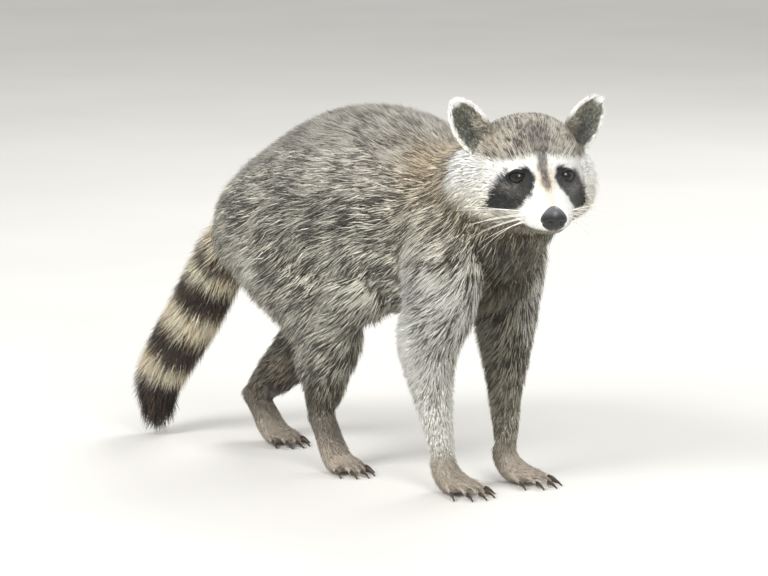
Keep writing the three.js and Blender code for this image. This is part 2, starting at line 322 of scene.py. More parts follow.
legShape = {
    "dome": (0.7, 0.7),
    "depths": [10, 10, 9, 7, 5, 4, 3],
    "lengths": {"Fore": [23, 22, 21, 19, 15, 11, 8], "Hind": [24, 24, 23, 22, 20, 15, 8]},
    # half width, front and back, from the body down to the paw
    "girths": {
        "Fore": [(32, 38, 36), (34, 40, 42), (31, 32, 36), (27, 27, 30), (20, 20, 21.5), (14.5, 15, 15.5)]
        + [(11.5, 12, 12.5)],
        "Hind": [(34, 46, 46), (40, 54, 52), (37, 44, 44), (30, 34, 33), (24, 27, 27), (18, 19.5, 19.5)]
        + [(13, 13.5, 14.5)],
    },
    "paths": {
        "leftFore": [(135, 43, 250), (134, 45, 215), (130, 46.5, 178), (128, 47, 148), (129, 45, 112)]
        + [(132, 41, 74), (135.5, 38, 40)],
        "rightFore": [(138, -48, 250), (145, -54, 213), (140, -52, 176), (121, -47, 143), (117, -43, 108)]
        + [(121, -39.5, 70), (126, -37.5, 40)],
        "leftHind": [(-100, 42, 236), (-86, 55, 200), (-84, 50, 165), (-98, 42, 134), (-121, 32, 102)]
        + [(-149, 23, 71), (-177, 16, 45)],
        "rightHind": [(-98, -42, 236), (-58, -56, 200), (-21, -55, 165), (-6, -52, 134), (-15, -48, 105)]
        + [(-19, -45, 80), (-28, -42, 56)],
    },
}
pawShape = {
    "foreToes": {"knuckle": 12, "spread": 7.6, "fan": 11, "length": 22, "radius": 4.6},
    "hindToes": {"knuckle": 13, "spread": 7.4, "fan": 7, "length": 21, "radius": 4.8},
    "clawReach": 10,
    "clawRadius": 2.4,
    "coat": 2,  # depth of the short coat on the paws
    "coatLength": 6,
    "toeCoat": 1.3,  # its depth on the toes
    "heelReach": 50,  # from the knuckles of a hind paw
    # where each stands, the way it points in degrees, and how high the heel is for the hind ones
    "stands": {
        "left_fore": ((154, 38), 4, None),
        "right_fore": ((145, -38), -6, None),
        "left_hind": ((-146, 13), -5, 45),
        "right_hind": ((-1, -44), -4, 56),
    },
}


# The head's sections all stand square to its own X.
def headForm():
    stations = np.array(headShape["stations"], float)
    x, middle = stations[:, :2].T
    rows = stationRows(np.column_stack([x, 0 * x, middle]), stations[:, 2:5], stations[:, 5:], 0 * x)
    place = {"turn": headTurn, "place": headPlace}
    return {"rows": rows, "hint": upward, "axis": forward, "dome": (0.5, 0.35), **place}


# The palm from the heel to the knuckles. A fore one leaves the leg above it, and a hind one runs
# down from its heel.
def palmRows(slope):
    if slope is None:
        table = [(-20, 0, 34, 12, 12, 12), (-17, 0, 21, 13.5, 12.5, 13.5), (-6, 0, 12, 16.5, 11, 13)]
        table.append((8, 0, 9, 17.5, 8, 10))
    else:
        back = pawShape["heelReach"] * math.cos(math.radians(slope))
        high = pawShape["heelReach"] * math.sin(math.radians(slope))
        table = [
            (-back, 0, 13 + high, 15, 13, 13),
            (-0.62 * back, 0, 12 + 0.6 * high, 14.5, 12.5, 13),
            (-0.25 * back, 0, 11 + 0.2 * high, 16.5, 11.5, 13),
            (2, 0, 10, 18, 10, 12),
            (12, 0, 9, 17, 8, 10),
        ]
    table = np.array(table, float)
    depth = np.full(len(table), pawShape["coat"])
    return stationRows(table[:, :3], table[:, 3:], depth, depth * 0 + pawShape["coatLength"])


# A toe, n from -2 to 2: it springs from the knuckles, fans out, arches and comes down on its tip.
def toeRows(toes, n):
    length = toes["length"] - 1.6 * n * n
    fan = math.radians(n * toes["fan"])
    reach = np.array([0, 0.35, 0.7, 1]) * length
    lift = np.array([9, 9.5, 6, 3.1])
    radius = toes["radius"] * (1 - 0.07 * np.arange(4))
    x = toes["knuckle"] - 2.2 * n * n + reach * math.cos(fan)
    y = n * toes["spread"] + reach * math.sin(fan)
    girths = np.column_stack([radius, radius, radius + 0.4])
    return stationRows(np.column_stack([x, y, lift]), girths, 0 * x + pawShape["toeCoat"], 0 * x)


# The claw leaves the toe's tip and curves down to the ground, 2.2 - 4.2 s2 above the tip's middle.
def clawRows(toes, n):
    tip = toeRows(toes, n)[-1]
    fan = math.radians(n * toes["fan"])
    share = np.array([0, 0.3, 0.6, 0.85, 1])
    reach = share * pawShape["clawReach"] - 1.5
    radius = pawShape["clawRadius"] * (1 - 0.86 * share**1.4)
    x = tip[0] + reach * math.cos(fan)
    y = tip[1] + reach * math.sin(fan)
    girths = np.column_stack([0.7 * radius, radius, radius])
    return stationRows(np.column_stack([x, y, tip[2] + 2.2 - 4.2 * share**2]), girths, share * 0, share * 0)


# A paw's own frame stands on the floor, turned by its heading, with X towards its toes.
def pawFrame(paw):
    stand, heading, slope = pawShape["stands"][paw]
    return {"hint": upward, "turn": turnMatrix(heading, 0, 1), "place": np.array([*stand, 0.0])}, slope


# The toes' measures, which differ between fore and hind paws.
def toesOf(paw):
    return pawShape["foreToes"] if "fore" in paw else pawShape["hindToes"]


# Every form by its name: its rows, what its sections' side is square to, and its end domes.
def bodyForms():
    forms = {
        "trunk": trunkForm(),
        "neck": {"rows": stationRows(**neckShape), "hint": upward},
        "head": headForm(),
        "tail": {"rows": stationRows(**tailShape), "hint": upward, "dome": (0.5, 1.2)},
    }
    for leg, path in legShape["paths"].items():
        kind = leg[-4:]
        rows = stationRows(path, legShape["girths"][kind], legShape["depths"], legShape["lengths"][kind])
        forms[leg] = {"rows": rows, "hint": forward, "dome": legShape["dome"]}
    for paw in pawShape["stands"]:
        place, slope = pawFrame(paw)
        forms[paw] = {"rows": palmRows(slope), "dome": (0.35, 0.4), **place}
    return forms


forms = bodyForms()


# ---- where a point lies on the forms

sectionsEach = 6  # sections looked at between two stations
pointsAtOnce = 20000
aheadFree = 4  # mm that a point may be ahead of its section and still lie on the skin


# The nearest section of a form to each point: its t, the angle round it, how far outside the skin
# the point is, the section's along and the coat's length there. t is carried on by how far ahead
# of the section the point is.
def placeOn(form, points):
    last = len(form["rows"]) - 1
    t = np.linspace(0, last, last * sectionsEach + 1)
    centre, along, side, up, sizes = sectionsAt(form, t)
    spacing = np.linalg.norm(np.gradient(centre, axis=0), axis=1)
    nearest = np.empty(len(points), int)
    for start in range(0, len(points), pointsAtOnce):
        part = points[start : start + pointsAtOnce]
        if form.get("axis") is None:
            away = (centre**2).sum(axis=1) - 2 * part @ centre.T
        else:
            away = np.abs((part @ along[0])[:, None] - centre @ along[0])
        nearest[start : start + pointsAtOnce] = np.argmin(away, axis=1)
    offset = points - centre[nearest]
    ahead, across, rise = ((offset * axis[nearest]).sum(axis=1) for axis in (along, side, up))
    sizes = sizes[nearest]
    width, above, below = (sizes[:, :3] - sizes[:, 3:6]).T
    height = np.where(rise > 0, above, below)
    share = np.hypot(across / width, rise / height)
    gap = (share - 1) * np.sqrt(width * height) + np.maximum(np.abs(ahead) - aheadFree, 0)
    onwards = (ahead / spacing[nearest] / sectionsEach).clip(-0.5, 0.5)
    return t[nearest] + onwards, np.arctan2(rise / height, across / width), gap, along[nearest], sizes[:, 6]


# ---- the skin

skinShape = {
    "voxel": 2.4,  # mm, of the mesh that joins the forms
    "smoothing": 9,  # rounds of evening out
    "fineMiddle": (80, 0, -15),  # in the head's frame
    "fineReach": 78,  # mm from there within which the mesh is twice as fine
    "rings": 20,
    "longRings": 26,  # on the trunk and the head
    "around": 36,
    "browRise": 2.0,
    "socketDepth": 2.2,
    "lipGroove": 0.8,
    "lipReach": 1.6,
    "crownSwell": 3,
    "crownRise": 1.8,
    # webs of skin from the flank to the front of each thigh
    "thighFolds": [
        [(52, -50, 190), (26, -56, 170), (8, -58, 148)],
        [(-22, 54, 190), (-48, 58, 170), (-64, 54, 148)],
    ],
    "foldRadii": [20, 20, 16],
    "foldReach": 18,  # mm over which two forms of the body share a fold
    "foldRounds": 90,  # further rounds of evening out in the folds between trunk, neck and legs
    "toneShift": 0.4,  # how far along the coat's length the skin takes its tone from
    "foldStep": 10,  # rounds between two looks at how much each point may move
}


# A mesh with its unwrap at each face's corners and its tone at each point.
def meshFrom(name, verts, faces, uv=None, tone=None, metres=True):
    mesh = bpy.data.meshes.new(name)
    corners = faces.shape[1]
    mesh.vertices.add(len(verts))
    mesh.vertices.foreach_set("co", (toMetres(verts) if metres else verts).astype(np.float32).ravel())
    mesh.loops.add(faces.size)
    mesh.loops.foreach_set("vertex_index", faces.astype(np.int32).ravel())
    mesh.polygons.add(len(faces))
    mesh.polygons.foreach_set("loop_start", np.arange(0, faces.size, corners, dtype=np.int32))
    mesh.polygons.foreach_set("use_smooth", np.ones(len(faces), bool))
    if uv is not None:
        layer = mesh.uv_layers.new(name="OFBake")
        layer.data.foreach_set("uv", uv.astype(np.float32).ravel())
    if tone is not None:
        colour = np.column_stack([tone, np.ones(len(tone))]).astype(np.float32)
        layer = mesh.color_attributes.new("coatTone", "FLOAT_COLOR", "POINT")
        layer.data.foreach_set("color", colour.ravel())
    mesh.update(calc_edges=True)
    mesh.validate()
    piece = bpy.data.objects.new(name, mesh)
    bpy.context.scene.collection.objects.link(piece)
    return piece


# Shells as one mesh, the faces of each numbered on from the points before it.
def joined(shells):
    starts = np.cumsum([0] + [len(verts) for verts, _ in shells[:-1]])
    verts = np.concatenate([verts for verts, _ in shells])
    return verts, np.concatenate([faces + start for (_, faces), start in zip(shells, starts)])


# Adds up the rows of values that have the same number.
def summed(numbers, values, length):
    return np.column_stack([np.bincount(numbers, column, length) for column in values.T])


# The cross product of two sides of each face, which is twice its area long.
def faceCross(verts, faces):
    a, b, c = (verts[faces[:, k]] for k in range(3))
    return np.cross(b - a, c - a)


# Every edge once, as its two ends with the lower number first.
def edgesOf(faces):
    pairs = np.sort(np.concatenate([faces[:, [0, 1]], faces[:, [1, 2]], faces[:, [2, 0]]]), axis=1)
    return np.unique(pairs, axis=0)


# A point's normal: the sum of the cross products of its faces, made a unit.
def vertexNormals(verts, faces):
    cross = faceCross(verts, faces)
    return unit(sum(summed(faces[:, k], cross, len(verts)) for k in range(3)))


# In each round every value moves half of the way to the mean of its neighbours.
def evened(values, edges, rounds):
    count = np.bincount(edges.ravel(), minlength=len(values))[:, None]
    first, second = edges.T
    for _ in range(rounds):
        total = summed(first, values[second], len(values)) + summed(second, values[first], len(values))
        values = values + 0.5 * (total / np.maximum(count, 1) - values)
    return values


# Splits every edge whose two ends are marked, and cuts each face that it touches to match.
def refined(verts, faces, marked):
    edges = edgesOf(faces)
    cut = edges[marked[edges[:, 0]] & marked[edges[:, 1]]]
    keys = cut[:, 0] * len(verts) + cut[:, 1]
    middles = (verts[cut[:, 0]] + verts[cut[:, 1]]) / 2
    halves = []
    for k in range(3):
        pair = np.sort(faces[:, [k, (k + 1) % 3]], axis=1)
        key = pair[:, 0] * len(verts) + pair[:, 1]
        at = np.minimum(np.searchsorted(keys, key), len(keys) - 1)
        halves.append(np.where(keys[at] == key, at + len(verts), -1))
    halves = np.column_stack(halves)
    number = (halves >= 0).sum(axis=1)
    whole = faces[number == 0]
    a, b, c = faces[number == 3].T
    d, e, f = halves[number == 3].T
    four = np.concatenate([np.column_stack(x) for x in ((a, d, f), (d, b, e), (f, e, c), (d, e, f))])
    one = number == 1
    turn = np.argmax(halves[one] >= 0, axis=1)
    row = np.arange(one.sum())
    p, q, r = (faces[one][row, (turn + k) % 3] for k in range(3))
    m = halves[one][row, turn]
    two = np.concatenate([np.column_stack([p, m, r]), np.column_stack([m, q, r])])
    return np.concatenate([verts, middles]), np.concatenate([whole, four, two])


# The forms, the thighs' folds and the toes, each as a shell.
def skinShells():
    shells = []
    for name, form in forms.items():
        rings = skinShape["longRings" if name in ("trunk", "head") else "rings"]
        shells.append(loft(form, rings, skinShape["around"]))
    for path in skinShape["thighFolds"]:
        bare = np.zeros(len(path))
        rows = stationRows(path, skinShape["foldRadii"], bare, bare)
        shells.append(loft({"rows": rows, "hint": forward, "dome": (0.9, 0.9)}, 8, 20))
    for paw in pawShape["stands"]:
        place, _ = pawFrame(paw)
        for n in range(-2, 3):
            toe = {"rows": toeRows(toesOf(paw), n), "dome": (0.7, 0.7), **place}
            shells.append(loft(toe, 9, 12))
    return shells


# One closed mesh round all the shells, by a grid of voxels.
def voxelJoined(shells):
    verts, faces = joined(shells)
    raw = meshFrom("skinForms", verts, faces)
    remesh = raw.modifiers.new("joined", "REMESH")
    remesh.mode = "VOXEL"
    remesh.voxel_size = skinShape["voxel"] * 0.001
    dressed = raw.evaluated_get(bpy.context.evaluated_depsgraph_get())
    mesh = dressed.to_mesh()
    found = np.empty(len(mesh.vertices) * 3)
    mesh.vertices.foreach_get("co", found)
    mesh.calc_loop_triangles()
    corners = np.empty(len(mesh.loop_triangles) * 3, dtype=np.int32)
    mesh.loop_triangles.foreach_get("vertices", corners)
    dressed.to_mesh_clear()
    bpy.data.objects.remove(raw)
    return found.reshape(-1, 3) * 1000 - frameShift, corners.reshape(-1, 3).astype(np.int64)


# Height of the line between the lips, which rises backwards.
def lipLine(x):
    return -30.5 + 0.0035 * (84 - x) ** 2


# The details of the face, as pushes along the skin's own normal: brows up, sockets and lips in.
def faceDetails(verts, faces):
    local = toHead(verts)
    local[:, 1] = np.abs(local[:, 1])
    push = skinShape["crownSwell"] * bell(local, (2, 30, 46), (20, 20, 20))
    push += skinShape["crownRise"] * bell(local, (4, 0, 50), (24, 22, 20))
    push += skinShape["browRise"] * bell(local, (41, 20, 18), (10, 12, 4.5))
    push -= skinShape["socketDepth"] * bell(local, (48, 21, 7.6), (9, 9, 6.5))
    nearLip = np.exp(-(((local[:, 2] - lipLine(local[:, 0])) / skinShape["lipReach"]) ** 2))
    push -= skinShape["lipGroove"] * nearLip * ramp(local[:, 0], 56, 66)
    return verts + vertexNormals(verts, faces) * push[:, None]


# Fills the folds where two of the trunk, the neck and the legs meet: the nearer they are to
# sharing a point, the more it moves with its neighbours.
def foldsFilled(verts, faces):
    body = [form for name, form in forms.items() if "_" not in name and name not in ("head", "tail")]
    gaps = np.column_stack([placeOn(form, verts)[2] for form in body])
    gaps.sort(axis=1)
    fold = ramp(gaps[:, 0] - gaps[:, 1], -skinShape["foldReach"], -2) * ramp(np.abs(gaps[:, 0]), 16, 6)
    edges = edgesOf(faces)
    fold = evened(fold[:, None], edges, 4)
    for _ in range(skinShape["foldRounds"] // skinShape["foldStep"]):
        verts = verts + fold * (evened(verts, edges, skinShape["foldStep"]) - verts)
    return verts


# The forms joined, evened, with their folds filled, finer near the nose and with the face's details.
def makeSkin():
    verts, faces = voxelJoined(skinShells())
    verts = evened(verts, edgesOf(faces), skinShape["smoothing"])
    verts = foldsFilled(verts, faces)
    middle = fromHead(np.array(skinShape["fineMiddle"], float))
    verts, faces = refined(verts, faces, np.linalg.norm(verts - middle, axis=1) < skinShape["fineReach"])
    near = np.linalg.norm(verts - middle, axis=1) < skinShape["fineReach"] + 6
    softened = evened(verts, edgesOf(faces), 3)
    verts = np.where(near[:, None], softened, verts)
    verts = faceDetails(verts, faces)
    verts[:, 2] = np.maximum(verts[:, 2], 0)
    return verts, faces


skinVerts, skinFaces = makeSkin()
skinNormals = vertexNormals(skinVerts, skinFaces)
print("skin", len(skinVerts), "points", len(skinFaces), "faces")


# ---- the lie of the coat

formNames = list(forms)
blendReach = 7.0  # mm over which one form's coat passes into the next


# Each form's share of the coat falls as e to the power of minus its gap over the reach.
def shareOfForms(gaps):
    nearer = np.exp(-(gaps - gaps.min(axis=1, keepdims=True)) / blendReach)
    return nearer / nearer.sum(axis=1, keepdims=True)


# One direction from its three parts.
def directions(*vector):
    return unit(np.array(vector, float))


# Passes from one direction to another as share goes from 0 to 1.
def turnedTo(lie, other, share):
    return lie * (1 - share[:, None]) + other * share[:, None]


# The lie of the coat on each form, before it is laid flat on the skin. The numbers are directions,
# and in each ramp the places in millimetres between which one direction passes into the next.
# Each takes the form's along too, which is the lie on the limbs, the paws and the tail.
def trunkLie(points, along):
    x, y, z = points.T
    lie = turnedTo(directions(-1, 0, -0.16), directions(-1, 0, -0.74), ramp(z, 330, 165))
    lie = turnedTo(lie, directions(-0.7, 0, -0.9), ramp(x, 95, 150) * ramp(z, 290, 230))
    lie = lie + np.outer(ramp(x, 140, 170) * ramp(np.abs(y), 4, 30) * np.sign(y), (0, 0.5, 0))
    lie = turnedTo(lie, directions(-0.7, 0, -0.75), ramp(x, -105, -160))
    return turnedTo(lie, directions(-1, 0, -0.3), ramp(z, 175, 150))


def neckLie(points, along):
    return turnedTo(directions(-1, 0.15, -0.35), directions(-0.6, 0.1, -1), ramp(points[:, 2], 325, 255))


# On the head hair lies away from the nose, and the cheeks' sweeps back and down.
def headLie(points, along):
    local = toHead(points)
    away = unit(local - np.array([84.0, 0, -20]))
    cheek = ramp(np.abs(local[:, 1]), 34, 56) * ramp(local[:, 2], 38, 8)
    away = away + np.outer(cheek, (-0.35, 0, -1.3))
    away = away + np.outer(ramp(local[:, 2], -28, -42), (-0.5, 0, -0.6))
    return unit(away) @ headTurn.T


def foreLie(points, along):
    x, y, z = points.T
    high = ramp(z, 50, 130)[:, None]
    outward = np.outer(ramp(x, 138, 172) * ramp(z, 120, 190) * np.sign(y), (0, 0.9, 0))
    return along + (0.3 + 0.55 * high) * np.array([-1, 0, 0]) + outward


def hindLie(points, along):
    x, y, z = points.T
    lie = turnedTo(directions(-0.8, 0, -0.74), along + 0.4 * directions(-1, 0, -1), ramp(z, 110, 60))
    front = ramp(x - np.where(y < 0, -22, -92), 8, 36) * ramp(z, 90, 130)
    return lie + np.outer(front * np.sign(y), (0, 0.75, 0))


def pawLie(points, along):
    return along * np.array([1, 1, 0.6]) + np.array([0, 0, -0.35])


def tailLie(points, along):
    return along


# What holds for a form: by its own name, or by whether it is a paw, a foreleg or a hind leg.
def pickFor(name, named, paw, fore, hind):
    if "_" in name:
        return paw
    return named.get(name, fore if name.endswith("Fore") else hind)


lies = {"trunk": trunkLie, "neck": neckLie, "head": headLie, "tail": tailLie}


# The points with both sides laid on the left one.
def folded(points):
    return np.column_stack([points[:, 0], np.abs(points[:, 1]), points[:, 2]])


# Length of the coat on the head, in mm, by how far back a point is, and longer on the cheeks.
def headCoatLength(points):
    x, y, z = toHead(points).T
    length = np.interp(x, (-60, -20, 8, 26, 42, 56, 70, 90), (21, 18, 13, 8.5, 5.2, 3.6, 2.6, 2.2))
    crown = np.interp(x, (-60, -20, 8, 30, 44), (15, 9.5, 7.2, 6, 4.6))
    length = np.where(z > 12, crown + (length - crown) * ramp(z, 26, 12), length)
    cheek = ramp(np.abs(y), 36, 56) * ramp(z, 22, -4)
    return length * (1 + 0.55 * cheek)


# The trunk's coat is shorter on the back and over the shoulders.
def trunkCoatLength(points, length):
    x, _, z = points.T
    return length * (1 - 0.36 * ramp(z, 238, 308)) * (1 - 0.2 * ramp(x, 50, 110) * ramp(z, 180, 230))


# How many times its style's rise the coat stands up: more at the ruff's edge, elbows, hips and hocks.
def standAt(points):
    local = toHead(points)
    place = folded(points)
    ruff = ramp(local[:, 0], 8, -8) * ramp(local[:, 0], -44, -24) * ramp(np.abs(local[:, 1]), 36, 52)
    elbow = bell(place, (108, 52, 140), (22, 40, 30))
    hip = bell(place, (-92, 78, 178), (26, 26, 30))
    hock = bell(place, (-148, 22, 72), (22, 24, 20))
    return 1 + 0.75 * ruff + 0.5 * elbow + 0.35 * hip + 0.6 * hock


# Each form's share of the coat, its lie and its length, the last two mixed by those shares.
def coatFields(points):
    gaps, lieSum, lengths = [], [], []
    for name, form in forms.items():
        _, _, gap, along, length = placeOn(form, points)
        towards = pickFor(name, lies, pawLie, foreLie, hindLie)(points, along)
        gaps.append(gap)
        lieSum.append(unit(towards))
        if name == "head":
            length = headCoatLength(points)
        if name == "trunk":
            length = trunkCoatLength(points, length)
        lengths.append(length)
    share = shareOfForms(np.column_stack(gaps))
    lie = sum(share[:, [k]] * lieSum[k] for k in range(len(formNames)))
    length = (share * np.column_stack(lengths)).sum(axis=1)
    return share, lie, length


skinShare, skinLie, skinLength = coatFields(skinVerts)
skinLie = evened(unit(squareTo(skinLie, skinNormals)), edgesOf(skinFaces), 6)
print("lie of the coat")


# ---- markings, and painted shade

# Each tone: the colour at the root, of light tips and of dark tips in 0 to 255, then the share
# of tufts with light tips.
coatTones = {
    "back": ((90, 84, 75), (212, 206, 192), (84, 78, 69), 0.57),
    "flank": ((68, 64, 55), (224, 221, 205), (62, 58, 50), 0.5),
    "flankDark": ((56, 53, 46), (192, 189, 174), (50, 47, 41), 0.34),
    "flankLow": ((92, 87, 76), (242, 240, 224), (78, 73, 63), 0.64),
    "rump": ((104, 98, 87), (230, 227, 212), (106, 99, 88), 0.68),
    "pale": ((132, 127, 116), (254, 252, 240), (124, 118, 107), 0.8),
    "belly": ((108, 103, 90), (206, 202, 184), (104, 98, 84), 0.62),
    "nape": ((128, 107, 80), (240, 222, 188), (122, 101, 74), 0.7),
    # chestAndShade: the chest's grey-brown, partly painted shade in how dark it is, and also painted shade
    "chestAndShade": ((64, 61, 50), (162, 157, 136), (62, 58, 48), 0.42),
    # between the forelegs and on their inner sides
    "shoulder": ((92, 87, 76), (240, 234, 216), (82, 77, 66), 0.6),
    "silver": ((104, 100, 90), (255, 254, 246), (70, 66, 58), 0.76),
    "wrist": ((228, 225, 212), (255, 254, 248), (206, 202, 186), 0.88),
    # farWristShade: painted shade, a darker copy of the wrist's tone for the left foreleg and paw
    "farWristShade": ((156, 152, 138), (222, 218, 202), (142, 138, 124), 0.66),
    # shankAndShade: the lower hind legs' own darker tone, and painted shade down the whole left hind leg
    "shankAndShade": ((70, 66, 55), (198, 191, 168), (62, 58, 48), 0.48),
    # heelPatchAndShade: the dark patch above the right heel, and painted shade under the chest and low on
    # the left hind leg
    "heelPatchAndShade": ((54, 46, 36), (118, 104, 82), (50, 42, 32), 0.4),
    "foot": ((112, 105, 96), (160, 151, 139), (104, 98, 89), 0.6),
    "paw": ((164, 152, 138), (206, 196, 182), (156, 144, 128), 0.7),
    "tailLight": ((232, 204, 162), (255, 247, 222), (214, 182, 138), 0.86),
    "tailDark": ((34, 27, 22), (92, 76, 60), (38, 30, 24), 0.32),
    "crown": ((86, 80, 71), (226, 218, 200), (86, 79, 69), 0.58),
    "crownDark": ((62, 57, 54), (168, 158, 146), (66, 61, 57), 0.42),
    "white": ((246, 244, 236), (255, 255, 252), (246, 243, 234), 0.92),
    "cream": ((206, 200, 180), (253, 250, 238), (200, 193, 171), 0.86),
    "mask": ((13, 14, 13), (62, 64, 61), (17, 18, 17), 0.18),
    "stripe": ((80, 75, 70), (168, 160, 150), (80, 74, 68), 0.44),
    "tan": ((206, 182, 148), (242, 226, 198), (196, 170, 134), 0.75),
    # edge is painted shade laid in folds: behind the elbows, behind the ruff, at the foot of each ear
    "edge": ((72, 64, 55), (136, 126, 110), (66, 59, 50), 0.35),
    "lip": ((60, 56, 50), (100, 94, 86), (54, 50, 46), 0.3),
    # greyAndJawShade: the ears' grey-brown hair, and painted shade under the jaw and below the lips
    "greyAndJawShade": ((104, 99, 86), (172, 166, 148), (98, 93, 80), 0.5),
    "earDark": ((92, 93, 84), (152, 153, 138), (92, 92, 83), 0.45),
}
faceMarks = {
    # the mask's outline beside the nose bridge, over the eye, out and down the cheek and back: |y|, z
    "mask": [(8.6, 10), (12.5, 17.5), (16, 18.8), (24, 17.4), (31, 13.5), (37, 6.5), (40.5, -3), (44, -12)]
    + [(46, -24), (35, -23), (26, -17), (18.5, -6), (12, 3)],
    "browMiddle": 28.5,  # height of the top of the white brows at the middle
    "browSlope": 0.25,
    "browEnd": 50,  # how far out the brow goes over into the ruff
    "ruffBack": -27,
    "ruffLow": -34,
    "stripeTop": 5.2,  # half width at the brows
    "stripeEnd": 2,  # height at which it runs out on the bridge
}
# The tail's dark bands from the base, as the stations where each begins and ends.
tailBands = [(2.46, 2.93), (3.36, 4.14), (4.84, 5.74), (6.4, 9)]


# 0 to 255 as seen to the linear values that a shader works in.
def linearTone(tone):
    value = np.asarray(tone, float) / 255
    return np.where(value <= 0.04045, value / 12.92, ((value + 0.055) / 1.055) ** 2.4)


toneRows = {name: np.concatenate([*map(linearTone, t[:3]), t[3:]]) for name, t in coatTones.items()}


# Lays tones over a base one after the other, each by its share from 0 to 1.
def painted(points, base, marks):
    tones = np.tile(toneRows[base], (len(points), 1))
    for name, share in marks:
        tones += (toneRows[name] - tones) * np.clip(share, 0, 1)[:, None]
    return tones


# How far inside an outline a point is, in mm, less than 0 outside.
def depthInside(points, outline):
    outline = np.array(outline, float)
    nearest = np.full(len(points), 1e9)
    inside = np.zeros(len(points), bool)
    for a, b in zip(outline, np.roll(outline, -1, axis=0)):
        edge = b - a
        share = np.clip((points - a) @ edge / (edge @ edge), 0, 1)
        nearest = np.minimum(nearest, np.linalg.norm(points - a - share[:, None] * edge, axis=1))
        crosses = (a[1] > points[:, 1]) != (b[1] > points[:, 1])
        at = a[0] + (points[:, 1] - a[1]) * edge[0] / (edge[1] if edge[1] else 1e-9)
        inside ^= crosses & (points[:, 0] < at)
    return np.where(inside, nearest, -nearest)


# Here and in the next functions the numbers are the places and reaches of the markings and of the painted
# shade in millimetres, in the head's own frame here and the animal's below, out being away from the middle.
def headTones(points):
    place = folded(toHead(points))
    x, out, z = place.T
    rough = smoothNoise(points, 4.0, 3) * 1.2
    back, end = faceMarks["ruffBack"], faceMarks["stripeEnd"]
    browTop = faceMarks["browMiddle"] - faceMarks["browSlope"] * out
    browTop += np.maximum(out - faceMarks["browEnd"], 0) * 1.1
    ruff = soft(browTop - z + rough, 2) * soft(z - faceMarks["ruffLow"] + rough, 8)
    ruff *= soft(x - back + 2.4 * rough, 4)
    outer = soft(-2 - x, 8) * soft(z + 22, 10)
    whitest = np.maximum(np.maximum(0.85 * soft(z + 10, 12), 0.95 * outer), soft(z - 6, 8))
    behind = soft(back - x, 2.5) * soft(x - back + 9, 4) * soft(out - 40, 6)
    lip = lipLine(x)
    # below: where painted shade falls under the upper lip
    below = soft(lip - z, 1.4) * soft(x - 40, 10)
    narrow = np.interp(z, (end, 12, 28, 40), (3, 4.2, faceMarks["stripeTop"], 9))
    mask = depthInside(place[:, 1:], faceMarks["mask"]) + rough
    marks = [
        ("crownDark", 0.85 * bell(place, (26, 0, 40), (16, 12, 14))),
        # painted shade under the jaw
        ("greyAndJawShade", soft(-z - 30 + rough, 6) * soft(56 - x, 10)),
        ("cream", ruff),
        ("white", ruff * whitest),
        ("stripe", 0.3 * bell(place, (17, 0, 8), (3.5, wide, 16)) * soft(out - 42, 4)),
        # painted shade behind the ruff's back edge, where it overhangs the neck
        ("edge", 0.85 * behind * soft(z + 36, 8)),
        ("white", soft(x - 60 + rough, 3) * soft(9 - z, 3) * soft(z - lip, 1.4)),
        # painted shade below the line of the lips, on the chin and lower jaw
        ("greyAndJawShade", below),
        ("cream", 0.2 * below * bell(place, (84, 0, 0), (12, 11, wide))),
        ("tan", 0.5 * soft(z - end, 3) * soft(x - 34, 8) * soft(9 - out, 2.5) * soft(17 - z, 8)),
        ("tan", 0.6 * soft(x - 50, 6) * soft(4.5 - out, 3) * soft(z + 9, 3)),
        ("stripe", 0.9 * soft(narrow - out + rough, 1.8) * soft(z - end, 3) * soft(44 - z, 6)),
        ("tan", 0.4 * bell(place, (8, 38, 34), (9, 9, 8))),
        # painted shade at the inner foot of each ear, next to the crown
        ("edge", 0.7 * bell(place, (3, 29, 48), (8, 6, 8))),
        ("mask", soft(mask, 1.3) * soft(x - 22, 5)),
        ("stripe", 0.7 * bell(place, (0, 30, -1.5), (wide, 9, 4.5)) * soft(x - 30, 4)),
        ("lip", 0.35 * np.exp(-((z - lip) ** 2)) * soft(x - 66, 4)),
    ]
    return painted(points, "crown", marks)


paleTuft = ((-76, 90, 188), (20, 34, 21))


# How silvery the shoulder is: more towards the leg.
def shoulderShare(x, z):
    return ramp(z, 250, 180) * ramp(x, 96, 116)


def trunkTones(points):
    place = folded(points)
    x, out, z = place.T
    rough = smoothNoise(points, 22.0, 5)
    # between: where painted shade falls under the chest, between the forelegs
    between = ramp(x, 96, 130) * ramp(z, 215, 178) * ramp(out, 50, 34)
    marks = [
        ("flankDark", 0.8 * bell(place, (0, 0, 252), (60, wide, 24)) * ramp(rough, -0.7, 0.5)),
        ("back", ramp(z + 10 * rough, 244, 292)),
        ("flankLow", bell(place, (50, 0, 182), (52, wide, 32))),
        ("pale", 0.35 * bell(place, (32, 0, 302), (70, wide, 26))),
        ("belly", ramp(z, 178, 150) * ramp(out, 66, 34)),
        ("chestAndShade", ramp(x, 138, 172) * ramp(z, 262, 225) * ramp(out, 66, 44)),
        # painted shade under the chest, between the forelegs, in the chest's tone and darker still
        ("chestAndShade", between),
        ("heelPatchAndShade", 0.35 * between),
        ("nape", 0.85 * bell(place, (122, 42, 300), (34, 28, 32))),
        ("rump", 0.7 * bell(place, (-132, 60, 248), (34, 44, 44))),
        ("pale", bell(place, *paleTuft)),
        ("shoulder", ramp(x, 84, 116) * ramp(z, 290, 250) * ramp(out, 30, 56)),
        ("silver", shoulderShare(x, z) * ramp(out, 44, 64)),
        # painted shade in the fold behind each elbow
        ("edge", 0.6 * bell(place, (102, 84, 190), (9, 30, 40))),
    ]
    return painted(points, "flank", marks)


